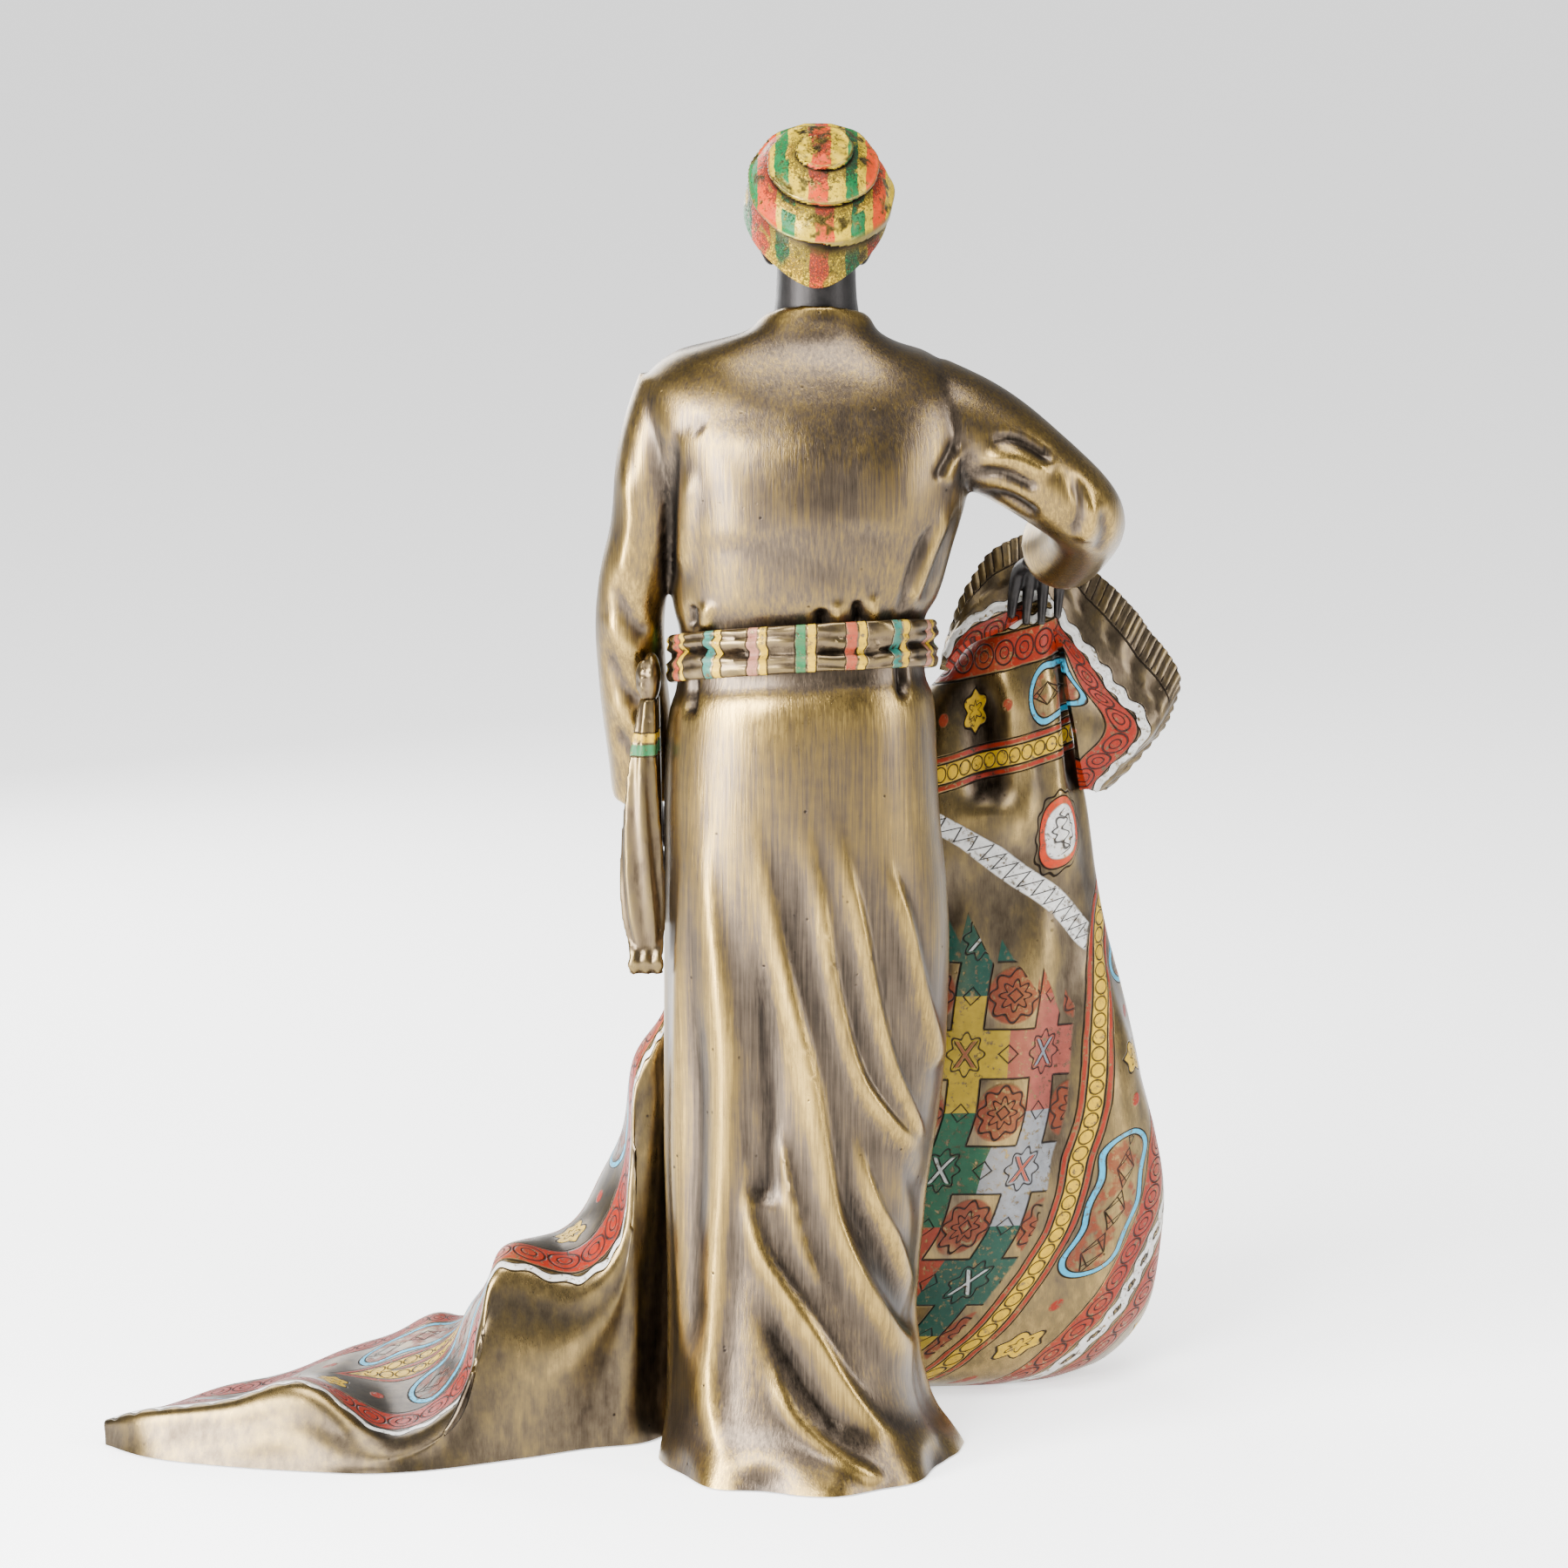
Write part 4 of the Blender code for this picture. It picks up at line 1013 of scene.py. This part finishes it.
def turbanSurface(u, v):  # its places, how far each is up its wrap, and the wrap's number
    look = turban
    outer = np.minimum(v / 0.93, 1)
    fold = np.clip((v - 0.93) / 0.07, 0, 1)
    turn = 2 * math.pi * u
    rim = (look["rimFront"] + (look["rimBack"] - look["rimFront"])
           * (0.5 - 0.5 * np.cos(turn)) ** 1.2)
    down = np.radians(rim) * outer
    local = np.stack([np.sin(turn) * np.sin(down), np.cos(turn) * np.sin(down), np.cos(down)],
                     axis=1)
    size = np.tile(look["size"], (len(u), 1))
    size[:, 2] = np.where(local[:, 2] < 0, look["lowSize"], size[:, 2])
    reach = 1 / np.sqrt(((local / size) ** 2).sum(axis=1))
    tilt = math.radians(look["tilt"])
    spin = np.array([[1, 0, 0], [0, math.cos(tilt), -math.sin(tilt)],
                     [0, math.sin(tilt), math.cos(tilt)]])
    way = local @ spin.T
    lean = math.radians(look["crownLean"])
    crown = np.array([0.0, -math.sin(lean), math.cos(lean)])
    one, two = np.array([1.0, 0.0, 0.0]), np.cross(crown, (1.0, 0.0, 0.0))
    apart = np.degrees(np.arccos(np.clip(way @ crown, -1, 1)))
    around = np.arctan2(way @ one, -(way @ two))
    phase = np.interp(apart, look["edges"], range(len(look["edges"])))
    phase += (0.5 - around / (2 * math.pi)) * rise(apart, 6, 16) - 0.5 * rise(apart, 6, 16)
    level = phase - np.floor(phase)
    step = look["swell"] * (level ** 0.8 - 0.5) + 0.4 * np.exp(-((level - 0.93) / 0.05) ** 2)
    step *= np.clip(apart / 30, 0.35, 1)
    step += 0.16 * np.sin(9 * around + 5 * level) * level
    reach = (reach + step) * (1 - 0.3 * fold)
    places = np.array(look["centre"]) + way * reach[:, None]
    places[:, 2] = np.minimum(places[:, 2], 257.9)
    return places, level, np.floor(phase)


def makeTurban():
    marks = {}

    def place(u, v):
        places, level, number = turbanSurface(u, v)
        marks.update(wrapLevel=level, wrapNumber=number,
                     wrapPlace=places[:, 0] - turban["centre"][0])
        return places

    piece = wrapSheet("turban", turban["columns"], turban["levels"], place, closed=False)
    for name, values in marks.items():
        setAttribute(piece, name, values)
    inEditMode(piece, lambda: bpy.ops.mesh.remove_doubles(threshold=weldReach))
    closeEnds(piece)
    markRelief(piece, 4, 30)
    finishPiece(piece, turbanPaint, "turban_paint", "turban", angle=70)


sash = {
    "band": (-24.9, 23.5, -18.1, 16.4), "roundness": 2.3, "middle": 158.0, "half": 4.6, "out": 2.0,
    "columns": 420, "levels": 44, "split": 0.85,
}


def placeSash(u, v):
    turn, angle = 2 * math.pi * v, math.pi / 2 - 2 * math.pi * u
    x, y, c, s = oval(sash["band"], angle, sash["roundness"])
    high, outward = np.sin(turn), np.cos(turn)
    z = sash["middle"] + sash["half"] * np.sign(high) * np.abs(high) ** 0.8
    out = np.where(outward > 0, 0.4 + (sash["out"] - 0.5) * np.abs(outward) ** 0.45,
                   0.4 + 1.6 * outward)
    faced = np.clip(outward * 3, 0, 1)
    split = 157.9 + 0.9 * np.sin(2 * angle + 0.8) + 0.25 * np.sin(7 * angle)
    out -= faced * 1.5 * np.exp(-((z - split) / sash["split"]) ** 2)
    out -= faced * 0.55 * np.exp(-((z - split - 2.6 - 0.5 * np.sin(3 * angle + 1)) / 0.45) ** 2)
    out -= faced * 0.5 * np.exp(-((z - split + 2.5 + 0.4 * np.sin(4 * angle)) / 0.45) ** 2)
    out += faced * 0.12 * np.sin(23 * angle + 1.2 * z)
    x, y = x + c * out, y + s * out
    return np.stack([x, y, z + waistTilt(x, y)], axis=1)


def makeSash():
    piece = wrapSheet("sash", sash["columns"], sash["levels"], placeSash)
    recalculate(piece)
    places = points(piece)
    fine = np.linspace(-math.pi, math.pi, 721)
    power = sash["roundness"] / 2
    ringX, ringY = oval(sash["band"], fine - math.pi / 2, sash["roundness"])[:2]
    arcs = np.concatenate([[0], np.cumsum(np.hypot(np.diff(ringX), np.diff(ringY)))])
    arcs -= arcs[360]
    around = np.arctan2(np.sign(places[:, 1]) * np.abs(places[:, 1] / 18) ** power,
                        np.sign(places[:, 0]) * np.abs(places[:, 0] / 24.5) ** power) + math.pi / 2
    around = np.where(around > math.pi, around - 2 * math.pi, around)
    setAttribute(piece, "sashArc", np.interp(around, fine, arcs) + 0.8)
    markRelief(piece, 4, 14)
    finishPiece(piece, sashPaint, "sash_paint", "sash", angle=70)


tails = {
    "long": [(-30.0, -3.6, 149.5), (-30.3, -3.8, 146), (-31.2, -4.4, 135), (-31.5, -4.8, 121),
             (-31.2, -4.8, 108), (-30.4, -4.6, 98.5)],
    "longWide": (1.6, 2.0, 2.9, 3.8, 3.9, 2.6), "longThick": (1.5, 1.7, 1.7, 1.7, 1.8, 1.5),
    "short": [(-28.7, 0.4, 149.5), (-28.7, 0.6, 146), (-28.9, 0.7, 138), (-29, 0.8, 124),
              (-28.8, 0.8, 111), (-28.7, 0.8, 104.6)],
    "shortWide": (0.7, 0.8, 1.1, 1.4, 1.4, 1.0), "shortThick": (1.3, 1.5, 1.6, 1.6, 1.6, 1.3),
    "knot": (-29.5, -3, 153.5), "knotSize": (1.9, 3.4, 4.9),
}


def flatTube(name, route, wide, thick):
    # a hanging strip: wide across the body's left-right line, thin front to back
    sides, levels = 28, 40
    route = curve(route, levels)
    wide, thick = (curve([[size] for size in sizes], levels)[:, 0] for sizes in (wide, thick))

    def place(u, v):
        k = (v * (levels - 1)).round().astype(int)
        turn = 2 * math.pi * u
        groove = 1 + 0.16 * np.cos(6 * turn + 0.12 * route[k, 2])
        x = route[k, 0] + wide[k] * np.cos(turn) * groove
        return np.stack([x, route[k, 1] + thick[k] * np.sin(turn) * groove, route[k, 2]], axis=1)

    piece = wrapSheet(name, sides, levels - 1, place)
    closeEnds(piece)
    return piece


def markTail(piece):
    z = points(piece)[:, 2]
    setAttribute(piece, "sashArc", np.clip((z - 140) * 0.8, -4, 4))
    markRelief(piece, 3, 20)


def makeTails():
    look = tails
    parts = [flatTube("longForm", look["long"], look["longWide"], look["longThick"])]
    for k in range(6):  # carved, curling fringe
        x = -33.6 + 1.15 * k
        curl = 1.1 * (-1) ** k
        parts.append(tubeAlong("curl",
                               [(x, -4.8, 102), (x + 0.3 * curl, -6.0, 100), (x + curl, -6.2, 98),
                                (x + 0.5 * curl, -5.6, 96.4), (x - 0.4 * curl, -5.0, 96.2)],
                               (0.7, 0.75, 0.8, 0.6, 0.4), sides=10, levels=18))
    longTail = fuse("sashTailLong", parts, 0.36, 3)
    markTail(longTail)
    finishPiece(longTail, sashPaint, "sash_paint", "sash_tail_long")
    shortTail = fuse("sashTailShort",
                     [flatTube("shortForm", look["short"], look["shortWide"], look["shortThick"])],
                     0.36, 3)
    markTail(shortTail)
    finishPiece(shortTail, sashPaint, "sash_paint", "sash_tail_short")
    x, y, z = look["knot"]
    parts = [ballAt("knotForm", look["knot"], look["knotSize"])]
    for turn in (-0.7, 0.2, 1.1):
        loop = [(x - 1.4, y + 3.0 * math.cos(turn + 3.0), z + 4.0 * math.sin(turn + 3.0)),
                (x - 1.9, y + 1.2 * math.cos(turn + 2.4), z + 1.5),
                (x - 1.9, y - 1.2, z - 1.4 + turn),
                (x - 1.2, y - 3.0 * math.cos(turn), z - 4.0 * math.sin(turn) - 0.5)]
        parts.append(tubeAlong("knotLoop", loop, (0.8, 1.0, 1.0, 0.8), sides=14, levels=20))
    knot = fuse("sashKnot", parts, 0.34, 3)
    markTail(knot)
    finishPiece(knot, sashPaint, "sash_paint", "sash_knot")


standing = {
    "rows": [(0, -13, 55, 37, 62), (3, -18, 61, 32, 66), (9, -21.5, 66.5, 28, 69),
             (18, -24.5, 70.5, 25.5, 70), (36, -27, 73.3, 23.5, 69), (52, -27, 71.8, 23.2, 66),
             (66, -27, 68.6, 23.4, 62.5), (80, -24.5, 64.2, 24, 58.5),
             (94, -16.5, 59.8, 24.8, 54.5), (108, -6, 56.4, 26, 51.5), (122, 5.5, 54.4, 27.4, 48.5),
             (136, 17, 52.6, 28.8, 46), (148, 28, 51.6, 30.2, 43.5), (157, 36, 50, 32, 41),
             (161.5, 41, 48.6, 34, 39)],
    "columns": 230, "levels": 165, "wall": 2.0,
    "chain": [(0, 45), (10, 44), (23, 38), (36, 31), (50, 25.5), (61, 19), (74, 13), (87, 6.5),
              (96, 1.5), (104, -3), (114, -7), (170, -9)],
    "leftChain": [(0, 30), (60, 30), (84, 12), (98, -6), (170, -12)],
    "folds": [
        (-1.6, 1.5, (48.2, 160.8), (51.0, 147), (52.4, 134.7), (53.4, 124)),
        (1.4, 2.6, (44.6, 159), (47, 146), (48.6, 133), (50, 119), (52, 104)),
        (-2.4, 4.5, (30, 150), (33.5, 141), (35, 131), (36, 121)),
        (1.2, 3.4, (37, 156), (41, 143), (43, 128), (42, 112)),
        (0.9, 4.5, (47, 112), (45, 90), (40, 62), (36, 36)),
        (-0.9, 4.0, (56, 104), (54, 88), (50, 66), (49, 44)),
        (0.9, 4.0, (62, 80), (63, 60), (62, 36), (56, 14)),
        (-0.8, 3.0, (30, 112), (27, 92), (25, 70)),
    ],
}


def placeStanding(u, v):
    top = standing["rows"][-1][0]
    body = np.minimum(v / 0.97, 1)
    shut = np.clip((v - 0.97) / 0.03, 0, 1)
    z = top * body
    angle = math.pi / 2 - 2 * math.pi * u
    left, right, back, front = along(standing["rows"], z)
    middleX, middleY = (left + right) / 2, (back + front) / 2
    c, s = np.cos(angle), np.sin(angle)
    x = middleX + (right - left) / 2 * c
    y = middleY + (front - back) / 2 * s
    small = np.clip((right - left) / 30, 0.25, 1)
    behind = rise(-s, -0.1, 0.4)
    out = behind * strokes(x, z, standing["folds"]) * small
    out += (1 - behind) * small * 1.4 * np.cos(5 * angle + 0.05 * z + 0.4) * rise(z, 150, 120)
    out += 0.3 * np.sin(0.13 * x + 0.09 * z) * np.cos(0.11 * z - 0.06 * x)
    out *= 1 - 0.6 * shut
    x, y = x + c * out, y + s * out
    x = x + (middleX - x) * 0.97 * shut
    y = y + (middleY - y) * 0.97 * shut
    return np.stack([x, y, z + 0.5 * shut], axis=1)


def markStanding(piece):
    places = points(piece)
    x, y, z = places.T
    left, right, back, front = along(standing["rows"], z)
    wide, deep = np.maximum((right - left) / 2, 0.5), np.maximum((front - back) / 2, 0.5)
    angle = np.arctan2((y - (back + front) / 2) / deep, (x - (left + right) / 2) / wide)
    steps = np.linspace(0, 1, 41)
    arcs = []
    for start in (0.0, math.pi):  # from the right-hand outline, then from the left-hand one
        gap = np.arctan2(np.sin(angle - start), np.cos(angle - start))
        turns = start + gap[:, None] * steps
        pieces = np.hypot(np.diff(wide[:, None] * np.cos(turns)),
                          np.diff(deep[:, None] * np.sin(turns)))
        arcs.append(pieces.sum(axis=1) * np.sign(gap) * (1 if start == 0 else -1))
    rightSide = arcs[0] + np.interp(z, *zip(*standing["chain"]))
    leftSide = arcs[1] + np.interp(z, *zip(*standing["leftChain"]))
    reflected = [np.where(side > 27, 54 - side, side) for side in (rightSide, leftSide)]
    topSide = z - (128.5 + 0.27 * (x - 27.5))
    setAttribute(piece, "sideBorder", np.maximum(*reflected))
    setAttribute(piece, "topBorder", np.where(y > (back + front) / 2 + 3, -99, topSide))
    setAttribute(piece, "alongSide", z)
    setAttribute(piece, "alongTop", (x - 55) * 1.35 + 40)
    setAttribute(piece, "fieldAcross", rightSide)
    setAttribute(piece, "fieldUp", z)


def makeStanding():
    piece = wrapSheet("standingCarpet", standing["columns"], standing["levels"], placeStanding)
    recalculate(piece)
    markRelief(piece, 5, 60)
    markStanding(piece)
    thicken(piece, standing["wall"])
    finishPiece(piece, carpetPaint, "carpet_paint", "standing_carpet")


flap = {
    "crease": [(28.2, 28.6, 149.5), (32.2, 29.6, 154.6), (38.4, 31, 157), (44.5, 34.4, 158.4),
               (49.4, 34.4, 154.6), (51.2, 33.6, 147), (52.6, 33.4, 138.5), (54, 33.8, 130.6),
               (55.4, 34.4, 124.2)],
    "middle": [(28.2, 30.5, 151.5), (31.8, 32.5, 157.3), (38.4, 34, 160.6), (46.5, 37.5, 162),
               (54.4, 38, 152.4), (60.9, 38.2, 143.8), (66.9, 38.4, 136.2), (61.2, 38, 128.4),
               (57.0, 37.2, 123.6)],
    "outer": [(27.6, 32, 148.5), (30.8, 36, 161.5), (37.2, 39, 171.4), (48, 43, 173.6),
              (60.4, 42.6, 163.8), (68, 43, 155), (74, 43.6, 145.4), (69.4, 42.4, 133),
              (59.6, 40, 123.2)],
    "columns": 400, "levels": 40, "wall": 1.8, "selvage": 26.0,
}


# points of a surface through its rails
def surfaceOf(rails, columns, rows):
    lanes = np.stack([curve(rail, columns) for rail in rails])
    weights = curve(np.eye(len(rails)), rows)
    return np.einsum("jk,kic->ijc", weights, lanes)


def surfaceNormals(grid):
    one, two = np.gradient(grid, axis=0), np.gradient(grid, axis=1)
    away = np.cross(one, two)
    return away / np.maximum(np.linalg.norm(away, axis=2), 1e-9)[:, :, None]


def lengths(grid, axis):
    steps = np.linalg.norm(np.diff(grid, axis=axis), axis=2)
    return np.concatenate([np.zeros_like(np.take(steps, [0], axis=axis)),
                           np.cumsum(steps, axis=axis)], axis=axis)


def gridSheet(name, grid):
    columns, rows = grid.shape[:2]
    pick = []  # each vertex's column and row

    def place(u, v):
        pick.extend([(u * (columns - 1)).round().astype(int), (v * (rows - 1)).round().astype(int)])
        return grid[pick[0], pick[1]]

    return wrapSheet(name, columns - 1, rows - 1, place, closed=False), pick


def makeFlap():
    look = flap
    grid = surfaceOf([look["crease"], look["middle"], look["outer"]], look["columns"],
                     look["levels"])
    around, across = lengths(grid, 0), lengths(grid, 1)
    run = around[:, look["levels"] // 2][:, None] * np.ones_like(across)
    half = across[:, look["levels"] // 2][:, None]
    whole = across[:, -1][:, None]
    border = np.where(across < half, look["selvage"] - (half - across),
                      look["selvage"] + 12 * (across - half) / np.maximum(whole - half, 0.1))
    away = surfaceNormals(grid)
    facing = np.sign(away[..., 1].mean())
    wave = 0.3 * np.sin(run * 0.32 + 1.0) + 0.18 * np.sin(run * 0.9) * (border > 30)
    bead = 0.5 * np.exp(-((border - 25.8 + 0.4 * np.sin(1.25 * run)) / 0.55) ** 2)
    fringe = 0.09 * np.cos(2 * math.pi * run / 1.55) * rise(border, 33.2, 34.2)
    grid = grid - away * (facing * (wave + bead + fringe))[:, :, None]
    piece, (i, j) = gridSheet("carpetEnd", grid)
    for name, values in (("sideBorder", border), ("alongSide", run)):
        setAttribute(piece, name, values[i, j])
    for name in ("topBorder", "fieldAcross", "fieldUp"):
        setAttribute(piece, name, np.full(len(i), -99.0))
    markRelief(piece, 4, 30)
    thicken(piece, look["wall"], 0)
    recalculate(piece)
    finishPiece(piece, carpetPaint, "carpet_paint", "carpet_end")


train = {
    "nearFoot": [(-25.5, 8, 0), (-28.5, 4, 0), (-31, 1, 0), (-34.5, -1, 0), (-43, -3.5, 0),
                 (-53, -8.5, 0), (-62, -12.5, 0), (-69, -15.5, 0), (-77, -18, 0), (-86, -19, 0),
                 (-97, -17.5, 0), (-112, -14.5, 0), (-128, -9, 0), (-137.5, -1, 0)],
    "nearEdge": [(-25, 9, 86), (-28.6, 5, 80), (-33.2, 3, 71), (-34, 1.5, 55), (-36, 0, 39.5),
                 (-45, -2.5, 32.5), (-59.5, -4.5, 36.5), (-63.2, -7, 25.5), (-66.5, -10.5, 11.5),
                 (-81, -13, 5.2), (-97, -9, 14), (-112, -8.5, 11), (-128, -5, 7.5), (-137.5, 0, 4)],
    "middle": [(-18, 34, 80), (-26, 28, 75), (-33, 25, 67), (-37, 24, 56), (-42, 22, 45),
               (-49, 20, 38.5), (-59, 18, 34), (-65, 17, 25), (-71, 16, 16), (-82, 15.5, 9.5),
               (-96, 13, 10), (-111, 9, 7.5), (-126, 5, 6), (-136.5, 2, 4)],
    "farEdge": [(-16, 54, 34), (-25, 53, 36), (-32, 52.5, 34), (-38, 52, 30), (-44, 51.5, 25),
                (-51, 51, 20), (-58, 50, 16), (-64, 49, 13), (-70, 48, 12), (-78, 45, 12),
                (-91, 36, 9), (-109, 22, 6.5), (-124, 11, 5), (-135.5, 4, 3.6)],
    "farFoot": [(-14, 62, 0), (-24, 61, 0), (-32, 60, 0), (-38, 59, 0), (-44, 58, 0), (-51, 57, 0),
                (-58, 56, 0), (-65, 55, 0), (-72, 53.5, 0), (-81, 50, 0), (-94, 41, 0),
                (-111, 27, 0), (-126, 15, 0), (-136.5, 6, 0)],
    "columns": 261, "levels": 121, "wall": 0.5,
    "lip": 0.7, "lipWidth": 2.2, "fillet": 0.7, "softening": 14,
}


def makeTrain():
    look = train
    rails = [look[name] for name in ("nearFoot", "nearEdge", "middle", "farEdge", "farFoot")]
    grid = surfaceOf(rails, look["columns"], look["levels"])
    for _ in range(look["softening"]):
        grid[1:-1, 1:-1] = (0.5 * grid[1:-1, 1:-1]
                            + 0.125 * (grid[2:, 1:-1] + grid[:-2, 1:-1]
                                       + grid[1:-1, 2:] + grid[1:-1, :-2]))
    grid[..., 2] = np.maximum(grid[..., 2], 0)
    across = lengths(grid, 1)
    quarter = (look["levels"] - 1) // 4
    fromNear = across - across[:, quarter][:, None]
    fromFar = across[:, 3 * quarter][:, None] - across
    run = lengths(grid, 0)[:, 2 * quarter][:, None] * np.ones_like(across)
    away = surfaceNormals(grid)
    away *= np.sign((away[..., 2] * (grid[..., 2] > 3)).sum())
    lift = rise(grid[..., 2], 1, 8)
    out = (look["lip"] * np.exp(-(fromNear / look["lipWidth"]) ** 2)
           - look["fillet"] * np.exp(-((fromNear + 6.5) / 3.2) ** 2))
    out += 0.5 * np.cos(run * 0.35 + across * 0.05) * rise(fromNear, 2, 10)
    out += 0.35 * np.sin(run * 0.21 + 0.09 * across)
    push = away * (out * lift)[:, :, None]
    for _ in range(8):
        push[1:-1, 1:-1] = (0.2
                            * (push[1:-1, 1:-1] + push[2:, 1:-1] + push[:-2, 1:-1] + push[1:-1, 2:]
                               + push[1:-1, :-2]))
    grid = grid + push
    grid[..., 2] = np.maximum(grid[..., 2], 0)
    piece, (i, j) = gridSheet("trailingCarpet", grid)
    values = {"sideBorder": np.minimum(27.2 - fromNear, 29.5),
              "topBorder": np.minimum(27.2 - fromFar, 29.5), "alongSide": run + 14,
              "alongTop": run + 2, "fieldAcross": np.full_like(run, -99), "fieldUp": run}
    for name, value in values.items():
        setAttribute(piece, name, value[i, j])
    recalculate(piece)
    if normals(piece)[:, 2].mean() < 0:
        inEditMode(piece, bpy.ops.mesh.flip_normals)
    markRelief(piece, 5, 50)
    thicken(piece, look["wall"])
    finishPiece(piece, carpetPaint, "carpet_paint", "trailing_carpet")


makeSkirt()
makeUpperRobe()
makeHead()
makeTurban()
makeHand("rightHand", "right", "right_hand")
makeHand("leftHand", "left", "left_hand")
makeSash()
makeTails()
makeStanding()
makeFlap()
makeTrain()


def makeTurnedMetal(name, light, dark, roughness):
    material, shader, base, spot = startMaterial(name)
    rings = noise(stretched(spot, (0.3, 0.3, 9.0)), 1.0, 2.0)
    cloud = noise(spot, 0.5, 3.0)
    tone = (0.55 * rings + 0.45 * cloud).ramp([(0.35, dark), (0.65, light)])
    plug(shader, {"Base Color": tone, "Roughness": roughness + 0.2 * (rings - 0.5), "Metallic": 1.0,
                  "Normal": bump(base, rings, 0.02, 0.6)})
    return material


brass = makeTurnedMetal("turnedBrass", (0.72, 0.5, 0.22), (0.4, 0.26, 0.1), 0.32)
steel = makeTurnedMetal("zincSteel", (0.55, 0.56, 0.57), (0.3, 0.31, 0.33), 0.36)
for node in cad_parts:
    name = node if isinstance(node, str) else node["name"]
    carried = bpy.data.objects.get(name)
    if carried is None:
        continue
    if name in ("neck_stud", "left_shoulder_dowel", "right_shoulder_dowel"):
        kept = brass
    elif name.startswith(("tie_", "lower_clamp", "upper_clamp", "carpet_screw")):
        kept = steel
    else:
        continue
    for slot in carried.material_slots:
        slot.material = kept
    if not carried.material_slots:
        carried.data.materials.append(kept)
print("fixings finished")


studio = {
    "camera": (-4.2, -1050, 340), "pitch": 78.8, "lens": 128, "sensor": 36,
    "floor": (0.9, 0.9, 0.9), "floorSide": 40, "floorDrop": -0.0004, "glow": 1.1, "sky": 2.8,
    "skyOnPieces": 0.5,
    "lamps": [  # place, aim, width, height, strength
        ((-560, -430, 210), (0, 0, 130), 230, 520, 30.0),
        ((-340, -640, 400), (0, 0, 190), 300, 300, 15.0),
        ((640, -300, 300), (0, 0, 130), 120, 480, 6.0),
        ((60, -260, 900), (0, 0, 150), 460, 420, 13.0),
        ((-300, 500, 350), (0, 0, 120), 400, 400, 5.0),
    ],
}


def inMetres(spot):
    return Vector([c * mm + s for c, s in zip(spot, shift)])


def makeStudio():
    deselectAll()
    bpy.ops.mesh.primitive_plane_add(size=studio["floorSide"], location=(0, 0, studio["floorDrop"]))
    floor = bpy.context.object
    floor.name = "floor"
    paper = bpy.data.materials.new("paper")
    paper.use_nodes = True
    plug(paper.node_tree.nodes["Principled BSDF"],
         {"Base Color": colour(*studio["floor"]), "Roughness": 0.9, "Specular IOR Level": 0.1,
          "Emission Color": colour(1, 1, 1), "Emission Strength": studio["glow"]})
    floor.data.materials.append(paper)
    for spot, aim, width, height, strength in studio["lamps"]:
        place, target = inMetres(spot), inMetres(aim)
        bpy.ops.object.light_add(type="AREA", location=place)
        lamp = bpy.context.object
        lamp.data.shape = "RECTANGLE"
        lamp.data.size, lamp.data.size_y = width * mm, height * mm
        lamp.data.energy = strength
        lamp.rotation_euler = (target - place).to_track_quat("-Z", "Y").to_euler()
    world = bpy.data.worlds.new("studioAir")
    bpy.context.scene.world = world
    world.use_nodes = True
    tree = world.node_tree
    air = tree.nodes["Background"]
    air.inputs["Color"].default_value = (1, 1, 1, 1)
    path = tree.nodes.new("ShaderNodeLightPath")
    strength = tree.nodes.new("ShaderNodeMix")
    strength.inputs[2].default_value = studio["skyOnPieces"]
    strength.inputs[3].default_value = studio["sky"]
    tree.links.new(path.outputs["Is Camera Ray"], strength.inputs[0])
    tree.links.new(strength.outputs[0], air.inputs["Strength"])
    bpy.ops.object.camera_add(location=inMetres(studio["camera"]),
                              rotation=(math.radians(studio["pitch"]), 0, 0))
    camera = bpy.context.object
    camera.data.lens = studio["lens"]
    camera.data.sensor_width = studio["sensor"]
    bpy.context.scene.camera = camera


makeStudio()
print("studio made")
